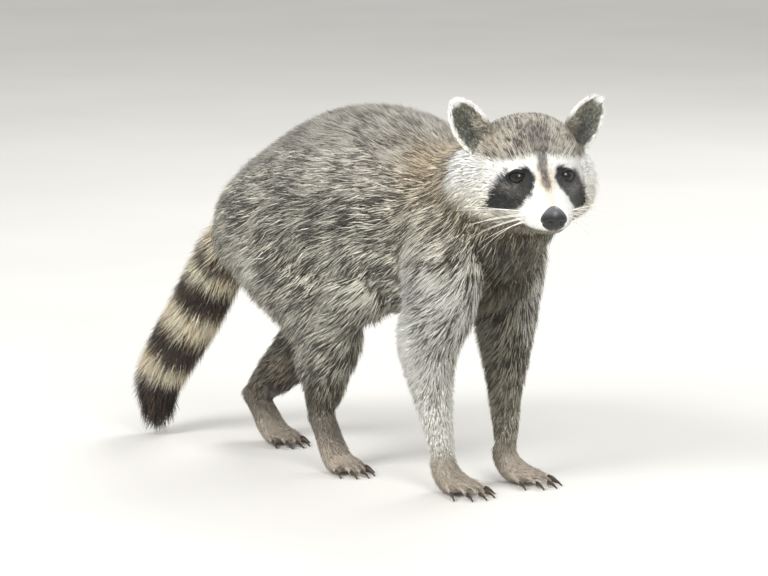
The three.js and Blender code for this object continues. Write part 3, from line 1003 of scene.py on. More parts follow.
def neckTones(points):
    x, out, z = folded(toHead(points)).T
    height = points[:, 2]
    ruff = soft(x - faceMarks["ruffBack"], 3) * soft(out - 34, 8) * soft(z + 24, 8) * soft(24 - z, 6)
    marks = [("nape", 0.8 * ramp(height, 345, 300)), ("chestAndShade", ramp(height, 275, 235)), ("white", ruff)]
    return painted(points, "crown", marks)


def tailTones(points):
    t = placeOn(forms["tail"], points)[0] - 0.0035 * (points[:, 0] + points[:, 2] * 0.4 + 140)
    rough = smoothNoise(points, 9.0, 11) * 0.05
    marks = [("back", 0.75 * ramp(t, 1.9, 0.9))]
    for begin, end in tailBands:
        marks.append(("tailDark", soft(t - begin + rough, 0.07) * soft(end - t + rough, 0.07)))
    return painted(points, "tailLight", marks)


# How much a point lies on the right side and on the left, which pass into each other at the middle.
def rightAndLeft(points):
    return ramp(points[:, 1], 20, -20), ramp(points[:, 1], -20, 20)


def foreTones(points):
    place = folded(points)
    x, out, z = place.T
    right, left = rightAndLeft(points)
    onLeft = points[:, 1] > 0
    inner = np.where(onLeft, ramp(out, 56, 40), ramp(out, 42, 28))
    marks = [
        ("silver", np.maximum(shoulderShare(x, z), ramp(z, 180, 160))),
        ("white", bell(place, (95, 64, 142), (20, 36, 54))),
        ("wrist", ramp(z, 118, 60) * right),
        # painted shade: the left wrist takes a darker copy of the wrist's tone
        ("farWristShade", ramp(z, 130, 80) * left),
        # painted shade: the forelegs' inner sides, and the back of the left one, turned from the key light
        ("chestAndShade", (0.9 - 0.25 * onLeft) * inner * ramp(z, 58, 120)),
        ("chestAndShade", 0.6 * ramp(points[:, 1], 0, 20) * ramp(x, 152, 138)),
    ]
    return painted(points, "shoulder", marks)


def hindTones(points):
    place = folded(points)
    z = place[:, 2]
    right, left = rightAndLeft(points)
    marks = [
        ("flankLow", 0.6 * bell(place, (0, 0, 150), (26, wide, 50))),
        ("pale", bell(place, *paleTuft) * right),
        # the lower legs' own darker tone, and painted shade down the left hind leg from the thigh
        ("shankAndShade", ramp(z, 104, 70) + 0.8 * left * ramp(z, 190, 130)),
        ("heelPatchAndShade", 0.85 * bell(place, (-30, 0, 62), (22, wide, 11)) * right),
        # painted shade on the lower left hind leg, turned from the key light
        ("heelPatchAndShade", 0.75 * left * ramp(z, 100, 78)),
        ("foot", ramp(z, 58, 42)),
    ]
    return painted(points, "flank", marks)


def pawTones(points):
    x, _, z = points.T
    right, left = rightAndLeft(points)
    fore = ramp(x, 40, 60)
    wrist = fore * ramp(z, 24, 44)
    marks = [
        ("wrist", 0.9 * wrist * right),
        # painted shade: the left fore paw takes a darker copy of the wrist's tone
        ("farWristShade", 0.6 * wrist * left),
        ("foot", (1 - fore) * ramp(z, 14, 40)),
    ]
    return painted(points, "paw", marks)


toneMakers = {"trunk": trunkTones, "neck": neckTones, "head": headTones, "tail": tailTones}


# Each form's own tones, mixed by how much of the coat there belongs to each form.
def tonesAt(points, share):
    total = np.zeros((len(points), 10))
    for k, name in enumerate(formNames):
        used = share[:, k] > 0.01
        maker = pickFor(name, toneMakers, pawTones, foreTones, hindTones)
        if used.any():
            total[used] += share[used, k][:, None] * maker(points[used])
    return total / np.maximum(share.sum(axis=1), 1e-6)[:, None]


# ---- materials

# For each finish: the shader's own values; a noise of a scale and detail, or cells of a scale; how
# far that shades the tone which each point carries, or a ramp's stops along it or along a UV map; a
# tone that the colour fades into between two heights on the map; a bump's height in metres and its
# strength.
finishes = {
    "fur": {
        "shader": {"Roughness": 0.62, "Specular IOR Level": 0.25, "Sheen Weight": 0.12},
        "noise": (900, 2),
        "shade": (0.78, 1.22),
    },
    "skinCoat": {
        "shader": {"Roughness": 0.8, "Specular IOR Level": 0.2, "Sheen Weight": 0.15},
        "noise": (700, 4),
        "shade": (0.6, 1.25),
        "bump": (0.0008, 0.6),
    },
    # a black pupil in a near-black brown iris, by the angle from the gaze, under a wet coat
    "wetEye": {
        "shader": {"Roughness": 0.2, "Specular IOR Level": 0, "Coat Weight": 1, "Coat Roughness": 0.03},
        "map": "polar",
        "stops": [(0, (3, 3, 3)), (0.13, (4, 4, 4)), (0.16, (22, 17, 13)), (0.27, (15, 12, 9))]
        + [(0.31, (6, 5, 5)), (1, (10, 8, 7))],
    },
    # black leathery skin, paler along the lower rim
    "lidSkin": {
        "shader": {"Roughness": 0.42, "Specular IOR Level": 0.4},
        "noise": (1600, 3),
        "map": "section",
        "stops": [(0.1, (22, 20, 20)), (0.2, (78, 75, 72)), (0.3, (22, 21, 21))],
        "fade": ((20, 19, 20), 0.12, 0.45),
        "bump": (0.0003, 0.5),
    },
    # damp black leather of small round cells
    "noseLeather": {
        "shader": {"Roughness": 0.34, "Specular IOR Level": 0.5}
        | {"Coat Weight": 0.3, "Coat Roughness": 0.25},
        "cells": 1500,
        "shade": (1.3, 0.5),
        "bump": (0.0003, 0.5),
    },
    "whiskerHair": {
        "shader": {"Roughness": 0.35, "Specular IOR Level": 0.5},
        "noise": (120, 2),
        "stops": [(0.3, (226, 222, 210)), (0.7, (250, 249, 244))],
    },
    "clawHorn": {
        "shader": {"Roughness": 0.32, "Specular IOR Level": 0.5, "Coat Weight": 0.25},
        "noise": (260, 4),
        "stops": [(0.3, (38, 31, 26)), (0.6, (66, 54, 44)), (0.8, (96, 82, 66))],
        "bump": (0.0002, 0.4),
    },
    "paleFloor": {
        "shader": {"Roughness": 0.85, "Specular IOR Level": 0.2},
        "noise": (3, 2),
        "stops": [(0.3, (212, 210, 205)), (0.7, (216, 214, 209))],
    },
}


# Gives a node's inputs their values, or links them to the outputs that feed them.
def feed(tree, node, inputs):
    for key, value in inputs.items():
        if isinstance(value, bpy.types.NodeSocket):
            tree.links.new(value, node.inputs[key])
        else:
            node.inputs[key].default_value = value


# Adds a node and returns one of its outputs.
def addNode(tree, kind, output, inputs, **settings):
    node = tree.nodes.new("ShaderNode" + kind)
    for key, value in settings.items():
        setattr(node, key, value)
    feed(tree, node, inputs)
    return node.outputs[output]


# A colour that runs through the stops as value goes from 0 to 1.
def throughStops(tree, value, stops):
    colour = addNode(tree, "ValToRGB", "Color", {"Fac": value})
    elements = colour.node.color_ramp.elements
    while len(elements) < len(stops):
        elements.new(0.5)
    for element, (place, tone) in zip(elements, stops):
        element.position = place
        element.color = (*linearTone(tone), 1)
    return colour


# A material whose colour runs from the grain or from the coat's tone, as its finish says.
def makeFinish(name):
    look = finishes[name]
    material = bpy.data.materials.new(name)
    material.use_nodes = True
    tree = material.node_tree
    shader = tree.nodes["Principled BSDF"]
    feed(tree, shader, look["shader"])
    if "noise" in look:
        scale, detail = look["noise"]
        place = addNode(tree, "TexCoord", "Object", {})
        grain = addNode(tree, "TexNoise", "Fac", {"Vector": place, "Scale": scale, "Detail": detail})
        height = grain
    if "cells" in look:
        place = addNode(tree, "TexCoord", "Object", {})
        grain = addNode(tree, "TexVoronoi", "Distance", {"Vector": place, "Scale": look["cells"]})
        height = addNode(tree, "Math", "Value", {0: grain, 1: -1}, operation="MULTIPLY")
    if "map" in look:
        parts = addNode(tree, "UVMap", "UV", {}, uv_map=look["map"])
        grain = addNode(tree, "SeparateXYZ", "X", {"Vector": parts})
    if "shade" in look:
        low, high = look["shade"]
        tone = addNode(tree, "Attribute", "Color", {}, attribute_name="coatTone")
        span = addNode(tree, "MapRange", "Result", {"Value": grain, "To Min": low, "To Max": high})
        colour = addNode(tree, "VectorMath", "Vector", {0: tone, "Scale": span}, operation="SCALE")
    else:
        colour = throughStops(tree, grain, look["stops"])
    if "fade" in look:
        tone, low, high = look["fade"]
        level = {"Value": grain.node.outputs["Y"], "From Min": low, "From Max": high}
        span = addNode(tree, "MapRange", "Result", level)
        mix = {"Factor": span, "A": colour, "B": (*linearTone(tone), 1)}
        colour = addNode(tree, "Mix", "Result", mix, data_type="RGBA")
    feed(tree, shader, {"Base Color": colour})
    if "bump" in look:
        distance, strength = look["bump"]
        bump = {"Height": height, "Distance": distance, "Strength": strength}
        feed(tree, shader, {"Normal": addNode(tree, "Bump", "Normal", bump)})
    return material


materials = {name: makeFinish(name) for name in finishes}


# Gives a piece its material and its body, and hides the nodes that it replaces.
def finishPiece(piece, finish, replaced=()):
    piece.data.materials.append(materials[finish])
    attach(piece, "root")
    if replaced:
        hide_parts(*replaced)


# ---- the coat

# A tuft leaves the skin at rise, bends and settles, both in degrees; tips in one clump of this size
# in mm draw together by the pull. Wander in degrees and sway turn it from the lie of the coat.
styleParts = ("width", "rise", "settle", "clump", "pull", "wander", "sway", "bent")
coatStyles = {
    "trunk": (1.02, 34, 11, 4.6, 0.55, 12, 0.34, True),
    "back": (0.9, 30, 12, 3.4, 0.4, 12, 0.3, False),
    "neck": (1.1, 36, 14, 5.0, 0.55, 11, 0.3, True),
    "head": (0.85, 34, 15, 3.2, 0.4, 9, 0.16, True),
    "tail": (0.95, 46, 22, 4.4, 0.45, 13, 0.2, True),
    "leg": (0.9, 32, 12, 4.2, 0.5, 11, 0.26, True),
    "face": (0.7, 24, 14, 2.6, 0.25, 8, 0.08, False),
    "paw": (0.8, 18, 8, 3.0, 0.2, 12, 0.1, False),
    "ear": (0.7, 26, 14, 2.6, 0.25, 11, 0.1, True),
}
tuftShape = {
    "bend": 0.42,  # where the bend is, as a share of the length
    "thick": 0.38,  # height of the section as a share of its width
    "sunk": 0.7,  # mm that the root lies in the skin
    "patch": 0.003,  # width of a tuft's patch on the unwrap
    "spread": 0.24,  # how much lengths vary
    "lockTone": 0.55,  # how much of a tuft's being light or dark it shares with its lock
    "swirls": (26, 10),  # mm over which the coat turns from its lie
    "riseSpread": 0.35,
    "settleSpread": 5,  # degrees
    "pullRange": (0.4, 1.2),
    "bendPull": 0.3,  # share of the tip's pull that the bend follows
    "widthRange": (0.6, 1.25),
    "middleRange": (0.35, 0.95),  # how far the bend's tone is towards the tip's
    "patchSize": 13,  # mm
    "patchy": 1.3,  # how much the share of light tufts varies from place to place
    "shadeSpread": 0.12,
    "leastHeight": 0.2,  # mm above the floor
}


# Turns vectors that are square to an axis by an angle about it.
def turnedAbout(vectors, axis, angle):
    return vectors * np.cos(angle)[:, None] + np.cross(axis, vectors) * np.sin(angle)[:, None]


# Which jittered cell of a grid each point falls in.
def clumpOf(points, size, seed):
    warp = np.column_stack([smoothNoise(points, size * 1.7, seed + k) for k in range(3)])
    cell = np.floor(points / size + 0.6 * warp).astype(np.int64)
    key = (cell[:, 0] * 4099 + cell[:, 1]) * 4099 + cell[:, 2]
    return np.unique(key, return_inverse=True)[1]


# The mean of the values in each clump.
def meanByClump(values, clump):
    return summed(clump, values, 0) / np.bincount(clump)[:, None]


# The direction at an angle from the first towards the second.
def between(first, second, angle):
    return first * np.cos(angle)[:, None] + second * np.sin(angle)[:, None]


# One mesh of tufts. A long tuft is a spindle: it leaves a point sunk in the skin, is widest at its
# bend, where it is three-sided, and runs out to its tip. A short one is a three-sided spike.
def tuftMesh(name, roots, normals, lie, length, tones, place, styleName, seed, stand=1.0):
    random = np.random.default_rng(seed)
    style = dict(zip(styleParts, coatStyles[styleName]))
    number = len(roots)
    lie = unit(squareTo(lie, normals))
    coarse, fine = tuftShape["swirls"]
    swirl = smoothNoise(roots, coarse, seed) + 0.6 * smoothNoise(roots, fine, seed + 5)
    swirl = swirl * style["sway"] + random.normal(0, math.radians(style["wander"]), number)
    lie = unit(turnedAbout(lie, normals, swirl))
    side = np.cross(normals, lie)
    length = length * (1 + tuftShape["spread"] * random.uniform(-1, 1, number))
    rise = (1 + tuftShape["riseSpread"] * random.normal(0, 1, number)).clip(0.3, 1.8)
    rise = np.radians(style["rise"] * stand * rise)
    settle = np.radians(style["settle"] * stand + tuftShape["settleSpread"] * random.normal(0, 1, number))
    start = between(lie, normals, rise)
    finish = between(lie, normals, settle)
    bendAt = roots + start * (length * tuftShape["bend"])[:, None]
    tip = bendAt + finish * (length * (1 - tuftShape["bend"]))[:, None]
    if not style["bent"]:
        tip = roots + unit(start + finish) * length[:, None]
    clump = clumpOf(roots, style["clump"], seed + 17)
    drawn = (meanByClump(tip - roots, clump) + meanByClump(roots, clump))[clump] - tip
    drawn = squareTo(drawn, lie)
    pull = style["pull"] * random.uniform(*tuftShape["pullRange"], number)[:, None]
    tip = tip + drawn * pull
    bendAt = bendAt + drawn * pull * tuftShape["bendPull"]
    width = style["width"] * random.uniform(*tuftShape["widthRange"], number)
    section = np.array([(-0.5, 0), (0.5, 0), (0, tuftShape["thick"])])
    over = np.cross(start, side)
    over = np.where((over * normals).sum(axis=1, keepdims=True) < 0, -over, over)
    ring = side[:, None] * section[:, 0, None] + over[:, None] * section[:, 1, None]
    ring = ring * width[:, None, None]
    sunk = roots - normals * tuftShape["sunk"]
    chance = tones[:, 9]
    patches = smoothNoise(roots, tuftShape["patchSize"], seed + 9)
    chance = chance + tuftShape["patchy"] * chance * (1 - chance) * patches
    lot = random.uniform(0, 1, clump.max() + 1)[clump]
    lot = np.where(random.uniform(0, 1, number) < tuftShape["lockTone"], lot, random.uniform(0, 1, number))
    isLight = lot < chance
    shade = 1 + tuftShape["shadeSpread"] * random.normal(0, 1, number).clip(-2, 2)
    tipTone = np.where(isLight[:, None], tones[:, 3:6], tones[:, 6:9]) * shade[:, None]
    rootTone = tones[:, 0:3] * shade[:, None]
    if style["bent"]:
        verts = np.concatenate([sunk[:, None], bendAt[:, None] + ring, tip[:, None]], axis=1)
        share = random.uniform(*tuftShape["middleRange"], number)[:, None]
        tone = [rootTone, *[rootTone + (tipTone - rootTone) * share] * 3, tipTone]
        faces = []
        for k in range(1, 4):
            j = k % 3 + 1
            faces += [(j, k, 0), (k, j, 4)]
        patch = np.array([(0.5, 0), (0, 0.5), (1, 0.5), (0.5, 0.5), (0.5, 1)])
    else:
        verts = np.concatenate([sunk[:, None] + ring, tip[:, None]], axis=1)
        tone = [rootTone * 0.6 + tipTone * 0.4] * 3 + [tipTone]
        faces = [(0, 2, 1), (0, 1, 3), (1, 2, 3), (2, 0, 3)]
        patch = np.array([(0, 0), (1, 0), (0.5, 0), (0.5, 1)])
    verts[..., 2] = np.maximum(verts[..., 2], tuftShape["leastHeight"])
    faces = np.array(faces)
    allFaces = (np.arange(number)[:, None, None] * verts.shape[1] + faces).reshape(-1, 3)
    uv = place[:, None] + (patch[faces.ravel()] - 0.5) * tuftShape["patch"]
    tone = np.stack(tone, axis=1).reshape(-1, 3).clip(0, 1)
    piece = meshFrom(name, verts.reshape(-1, 3), allFaces, uv.reshape(-1, 2), tone)
    print(name, number, "tufts", len(allFaces), "faces")
    return piece


# Roots spread over faces: equal steps of the running sum of area by density, each a little shifted.
def scatterRoots(faces, area, number, random):
    running = np.cumsum(area)
    step = running[-1] / number
    at = (np.arange(number) + random.uniform(0, 1, number)) * step
    face = faces[np.minimum(np.searchsorted(running, at), len(faces) - 1)]
    p, q = random.uniform(0, 1, (2, number))
    over = p + q > 1
    p, q = np.where(over, 1 - p, p), np.where(over, 1 - q, q)
    return face, np.column_stack([1 - p - q, p, q])


# Values at a root: those of its face's corners, each by its share.
def blended(values, face, share):
    return (values[face] * share.reshape(share.shape + (1,) * (values.ndim - 1))).sum(axis=1)


beyondStrip = 0.06  # margins of the unwrap, as shares of a strip's width and of its length
beyondTurn = 0.02


# A tuft's place on the unwrap: the form's strip of the square, along it by t and round it by angle.
def unwrapPlace(points, names, owner):
    place = np.zeros((len(points), 2))
    for strip, name in enumerate(names):
        mine = owner == formNames.index(name)
        if mine.any():
            t, angle, *_ = placeOn(forms[name], points[mine])
            along = t / (len(forms[name]["rows"]) - 1)
            place[mine, 0] = (strip + beyondStrip + (1 - 2 * beyondStrip) * along) / len(names)
            place[mine, 1] = beyondTurn + (1 - 2 * beyondTurn) * (angle / (2 * math.pi) + 0.5)
    return place


bareShape = {
    "eye": 9.6,  # mm from its middle, less by the flatness above and below
    "flatness": 1.15,
    "nose": (12, 12.6, 11.8),
    "soleHeight": 4,
    "soleDown": -0.5,  # where the skin's normal points further down than this
}


# Where no fur grows: on the eyes and lids, the nose pad and the soles.
def bareAt(points, normals):
    local = toHead(points)
    bare = np.linalg.norm((local - np.array(headStance["nose"])) / bareShape["nose"], axis=1) < 1
    bare |= (points[:, 2] < bareShape["soleHeight"]) & (normals[:, 2] < bareShape["soleDown"])
    for side in sides.values():
        away = (local - onSide(headStance["eye"], side)) * (1, 1, bareShape["flatness"])
        bare |= np.linalg.norm(away, axis=1) < bareShape["eye"]
    return bare


faceOwner = np.argmax(skinShare[skinFaces].sum(axis=1), axis=1)
faceMiddle = skinVerts[skinFaces].mean(axis=1)
faceAngle = np.degrees(placeOn(forms["trunk"], skinVerts)[1])[skinFaces[:, 0]]
faceLength = skinLength[skinFaces].mean(axis=1)
furred = ~bareAt(faceMiddle, skinNormals[skinFaces[:, 0]])

# The parts that a form's coat is cut into: by the angle round the trunk, 0 at its left and 90 on
# top, along an uneven line, and by the coat's length on the head.
flankAngle = 42
unevenAngle = np.abs(faceAngle + 9 * smoothNoise(faceMiddle, 26.0, 71))
beside = (unevenAngle < flankAngle) | (unevenAngle > 180 - flankAngle)
faceParts = {
    "all": faceLength > 0,
    "left": unevenAngle < flankAngle,
    "right": unevenAngle > 180 - flankAngle,
    "over": ~beside & (faceAngle > 0),
    "under": ~beside & (faceAngle < 0),
    "long": faceLength > 8,
    "short": faceLength <= 8,
}
# name: the forms whose coat it is, each with a strip of its unwrap, then the part of them, tufts
# per square mm, style and slot
coatPieces = {
    "coat_back": (["trunk"], "over", 0.97, "back", "body_coat"),
    "coat_flank_left": (["trunk"], "left", 0.8, "trunk", "body_coat"),
    "coat_flank_right": (["trunk"], "right", 0.8, "trunk", "body_coat"),
    "coat_belly": (["trunk"], "under", 0.56, "trunk", "body_coat"),
    "coat_neck": (["neck"], "all", 0.85, "neck", "body_coat"),
    "coat_head": (["head"], "long", 1.25, "head", "face_coat"),
    "coat_face": (["head"], "short", 2.2, "face", "face_coat"),
    "coat_tail": (["tail"], "all", 1.45, "tail", "tail_coat"),
    "coat_fore_legs": (["leftFore", "rightFore"], "all", 0.7, "leg", "body_coat"),
    "coat_hind_legs": (["leftHind", "rightHind"], "all", 0.63, "leg", "body_coat"),
    "coat_paws": (list(pawShape["stands"]), "all", 0.85, "paw", "paw_coat"),
}


coatGrowth = {
    "toneShift": 0.55,  # how far along its length a tuft takes its tone from
    "toneSpread": 0.12,
    # tufts of these lengths in mm stand so many times as densely as the longest
    "lengths": (2, 8, 20, 30),
    "packing": (1.5, 1.25, 1.05, 1),
}


# For each piece, roots over its own faces take their lie, length and tones from the skin there.
def makeCoat():
    for seed, (name, spec) in enumerate(coatPieces.items(), 40):
        names, part, density, style, slot = spec
        random = np.random.default_rng(seed)
        owners = [formNames.index(n) for n in names]
        faces = skinFaces[np.isin(faceOwner, owners) & faceParts[part] & furred]
        twiceArea = np.linalg.norm(faceCross(skinVerts, faces), axis=1)
        number = int(twiceArea.sum() / 2 * density)
        packed = np.interp(skinLength[faces].mean(axis=1), coatGrowth["lengths"], coatGrowth["packing"])
        face, share = scatterRoots(faces, twiceArea * packed, number, random)
        roots, length, forming = (blended(v, face, share) for v in (skinVerts, skinLength, skinShare))
        normals, lie = (unit(blended(v, face, share)) for v in (skinNormals, skinLie))
        shifted = roots + lie * (length * coatGrowth["toneShift"])[:, None]
        shifted += random.normal(0, 1, roots.shape) * (coatGrowth["toneSpread"] * length)[:, None]
        tones = tonesAt(shifted, forming)
        owner = np.argmax(forming, axis=1)
        owner = np.where(np.isin(owner, owners), owner, owners[0])
        place = unwrapPlace(roots, names, owner)
        piece = tuftMesh(name, roots, normals, lie, length, tones, place, style, seed, standAt(roots))
        finishPiece(piece, "fur")


# ---- ears

earShape = {
    "root": (-1, 42, 26.5),
    "rise": (-0.25, 0.65, 1),
    "facing": (1, 0, 0),
    "height": 46.2,
    "halfWidth": 15.4,
    "cup": 14,
    "thick": 2.6,
    "foot": -0.12,  # how far below its root it starts, as a share of the height, inside the head
    "top": 0.985,
    "rings": 30,
    "across": 15,
}


# The ear's own axes: up it, the way that its hollow faces, and across.
def earAxes(side):
    rise = unit(onSide(earShape["rise"], side))
    facing = onSide(earShape["facing"], side)
    facing = unit(facing - rise * (facing @ rise))
    return rise, facing, np.cross(rise, facing)


# The ear's sheet: half its width runs as the root of 1 - v2.4, and it is cupped as 1 - u2. layer is
# 0 on the hollow side and 1 on the back.
def earPoints(side, u, v, layer):
    rise, facing, across = earAxes(side)
    share = np.clip(v, 0, earShape["top"])
    half = earShape["halfWidth"] * np.sqrt(1 - share**2.4) * (0.88 + 0.19 * np.sin(math.pi * share))
    cup = earShape["cup"] * (1 - u * u) * share**0.4 * (1 - 0.45 * share) * half / 18
    thick = earShape["thick"] * np.sqrt(1 - 0.75 * u * u) * (1 - 0.35 * share)
    back = cup + (layer - 0.35) * thick
    local = onSide(earShape["root"], side) + rise * (v * earShape["height"])[:, None]
    local = local + across * (u * half)[:, None] - facing * back[:, None]
    return fromHead(local)


# Faces wound outwards, which is where the sum of their corners' volumes is above 0.
def facingOut(verts, faces):
    a, b, c = (verts[faces[:, k]] for k in range(3))
    sixVolumes = (a * np.cross(b, c)).sum()
    return faces if sixVolumes > 0 else faces[:, ::-1]


# The skin's tone: the roots', light tips' and dark tips', mixed by their shares.
def mixedTone(tones, shares):
    return tones[:, :3] * shares[0] + tones[:, 3:6] * shares[1] + tones[:, 6:9] * shares[2]


# Rings up the ear, each over the hollow side from edge to edge and home along the back.
def earShell(side):
    rings, across = earShape["rings"], earShape["across"]
    around = 2 * across
    u = np.linspace(-1, 1, across)
    u = np.tile(np.concatenate([u, u[::-1]]), rings)
    v = np.linspace(earShape["foot"], earShape["top"], rings).repeat(around)
    layer = np.tile(np.repeat((0.0, 1.0), across), rings)
    points = earPoints(side, u, v, layer)
    middles = points.reshape(rings, around, 3).mean(axis=1)
    high = middles[-1] + (middles[-1] - middles[-2]) * 0.4
    verts = np.concatenate([middles[:1], points, high[None]])
    tones = mixedTone(earTones(side, u, v, layer, points), (0.5, 0.25, 0.25))
    faces = facingOut(verts, shellFaces(rings, around))
    return verts, faces, np.concatenate([tones[:1], tones, tones[-1:]])


# The ear's tones: pale along the rim and tip, grey in the hollow with painted shade darkest low in it,
# cream next to the crown, tan at its foot and painted shade where its foot meets the crown.
def earTones(side, u, v, layer, points):
    rough = smoothNoise(points, 3.0, 23) * 0.1
    edge = np.maximum(np.abs(u), ramp(v, 0.45, 1.0) * 0.98) + rough
    inner = np.clip(-u * side, -1, 1)  # 1 at the edge next to the crown
    hollow = layer < 0.5
    marks = [
        # painted shade low in the hollow, in the mask's tone
        ("mask", 0.55 * hollow * bell(np.column_stack([u * side, v]), (0.15, 0.3), (0.45, 0.28))),
        ("greyAndJawShade", 0.7 * hollow * ramp(inner, 0.1, 0.8) * ramp(v + rough, 0.1, 0.4)),
        ("tan", 0.6 * hollow * ramp(inner, 0.5, 0.95) * ramp(v, 0.7, 0.2)),
        ("white", np.where(hollow, ramp(edge, 0.76, 0.98), ramp(edge, 0.66, 0.97))),
        ("crown", 0.85 * ~hollow * ramp(v, 0.4, 0.05)),
        # painted shade where the ear's foot meets the crown
        ("edge", 0.8 * ramp(inner, 0.45, 0.95) * ramp(v, 0.5, 0.18)),
    ]
    return painted(points, "earDark", marks)


earCoat = {
    # name of the growth: tufts per ear, layer, length, from u, to u, from v, to v
    "hollow": (2450, 0, 3.4, -0.97, 0.97, 0.04, 0.97),
    "back": (2500, 1, 5.5, -0.97, 0.97, 0.0, 0.96),
    "rim": (1500, 0.5, 3.8, 0.88, 1.0, 0.02, 0.97),
    "tip": (800, 0.5, 3.6, -1.0, 1.0, 0.88, 0.985),
    "inner": (330, 0, 8.0, 0.4, 0.9, 0.02, 0.38),
}


# Each growth is spread over its part of the ear's sheet and leans up it and out to the edges.
def makeEarCoat():
    random = np.random.default_rng(31)
    gathered = [[] for _ in range(6)]
    for strip, side in enumerate(sides.values()):
        rise, facing, across = (axis @ headTurn.T for axis in earAxes(side))
        for growth, (number, layer, length, uFrom, uTo, vFrom, vTo) in earCoat.items():
            u = random.uniform(uFrom, uTo, number)
            v = random.uniform(vFrom, vTo, number)
            if growth == "rim":
                u = u * random.choice((-1, 1), number)
            if growth == "inner":
                u = -u * side
            layers = np.full(number, float(layer)) if layer != 0.5 else random.uniform(0, 1, number)
            at = earPoints(side, u, v, layers)
            du = earPoints(side, u + 0.02, v, layers) - at
            dv = earPoints(side, u, v + 0.02, layers) - at
            normals = unit(np.cross(du, dv))
            outside = np.where(layers < 0.5, 1, -1)[:, None] * facing
            normals = np.where((normals * outside).sum(axis=1, keepdims=True) < 0, -normals, normals)
            if layer == 0.5:
                spread = (np.sign(u) * (np.abs(u) > 0.8))[:, None] * across + (v > 0.85)[:, None] * rise
                normals = unit(spread + 0.35 * normals)
            lie = rise + 0.25 * np.sign(u)[:, None] * across * np.abs(u)[:, None]
            if growth == "inner":
                lie = np.tile(side * across + rise * 0.55 + facing * 0.3, (number, 1))
            tones = earTones(side, u, v, layers, at)
            if growth == "inner":
                # painted shade: the inner tufts darken towards the ear's foot
                marks = [("cream", random.uniform(0, 0.5, number)), ("edge", 0.6 * ramp(v, 0.4, 0.1))]
                tones = painted(at, "greyAndJawShade", marks)
            if growth in ("rim", "tip"):
                # painted shade: the rim darkens low on the side next to the crown
                low = 0.85 * ramp(v, 0.45, 0.15) * ramp(-u * side, 0, 0.5)
                tones = painted(at, "white", [("cream", ramp(v, 0.5, 0.2)), ("edge", low)])
            sheet = strip * 2 + (layers > 0.5)
            place = np.column_stack([(sheet + 0.06 + 0.44 * (u + 1)) / 4, 0.02 + 0.94 * v.clip(0, 1)])
            for kept, value in zip(gathered, (at, normals, lie, np.full(number, length), tones, place)):
                kept.append(value)
    gathered = [np.concatenate(kept) for kept in gathered]
    finishPiece(tuftMesh("coat_ears", *gathered, "ear", 61), "fur")


# The skin of the body and both ears in one mesh, with the markings and painted shade that the coat has.
def finishSkin():
    shifted = skinVerts + skinLie * (skinLength * skinShape["toneShift"])[:, None]
    tones = tonesAt(shifted, skinShare)
    shells = [(skinVerts, skinFaces)]
    tone = [mixedTone(tones, (0.55, 0.25, 0.2))]
    for side in sides.values():
        verts, faces, shellTone = earShell(side)
        shells.append((verts, faces))
        tone.append(shellTone)
    verts, faces = joined(shells)
    skin = meshFrom("skin", verts, faces, tone=np.concatenate(tone).clip(0, 1))
    flesh = ["trunk", "neck", "head", "tail", "ear_left", "ear_right"]
    flesh += [f"{paw}_{part}" for paw in pawShape["stands"] for part in ("leg", "paw")]
    finishPiece(skin, "skinCoat", flesh)


# ---- eyes, nose, whiskers and claws

eyeShape = {
    "gaze": (0.97, 0.22, 0.06),
    "cornea": 0.5,  # how far the cornea stands out
    "openAcross": 76,  # half the lids' opening, in degrees of the eyeball
    "openUp": 42,
    "tilt": 10,  # the outer corner's lift, in degrees
    "lowerShare": 0.92,  # of openUp, that the lower lid leaves open
    "power": 1.7,  # 2 would make the opening an ellipse, and 1 a diamond
    "lidThick": 1.1,
    "lidGap": 0.25,
    # degrees beyond the rim, and height in lidThick
    "lidSection": [(0, -0.6), (-0.8, 0.35), (-0.6, 0.75), (0.8, 1.05), (4, 1.15), (10, 1.1), (18, 0.9)]
    + [(28, 0.4), (36, -0.8), (20, -1.2)],
    "corneaReach": 34,  # degrees
    "pole": 0.03,  # radians left open for the end point of the ball
    "rings": 40,
    "around": 48,
    "lidAround": 72,
}


# The gaze, then across and up, both turned about it by the tilt.
def eyeAxes(side):
    gaze = unit(onSide(eyeShape["gaze"], side))
    across = unit(np.cross(upward, gaze))
    up = np.cross(gaze, across)
    tilt = math.radians(eyeShape["tilt"]) * side
    tilted = across * math.cos(tilt) + up * math.sin(tilt)
    return gaze, tilted, up * math.cos(tilt) - across * math.sin(tilt)


# Directions at polar angles from the first axis, going round it from the second to the third.
def aimed(polar, angle, axes):
    ahead, across, up = axes
    ringed = np.cos(angle)[:, None] * across + np.sin(angle)[:, None] * up
    return np.cos(polar)[..., None] * ahead + np.sin(polar)[..., None] * ringed


# The triangles of a grid whose rows and columns both close on themselves.
def ringFaces(rows, columns):
    r = np.arange(rows)[:, None]
    k = np.arange(columns)
    a = (r * columns + k).ravel()
    b = (r * columns + (k + 1) % columns).ravel()
    c = ((r + 1) % rows * columns + (k + 1) % columns).ravel()
    d = ((r + 1) % rows * columns + k).ravel()
    return np.concatenate([np.column_stack([a, b, c]), np.column_stack([a, c, d])])


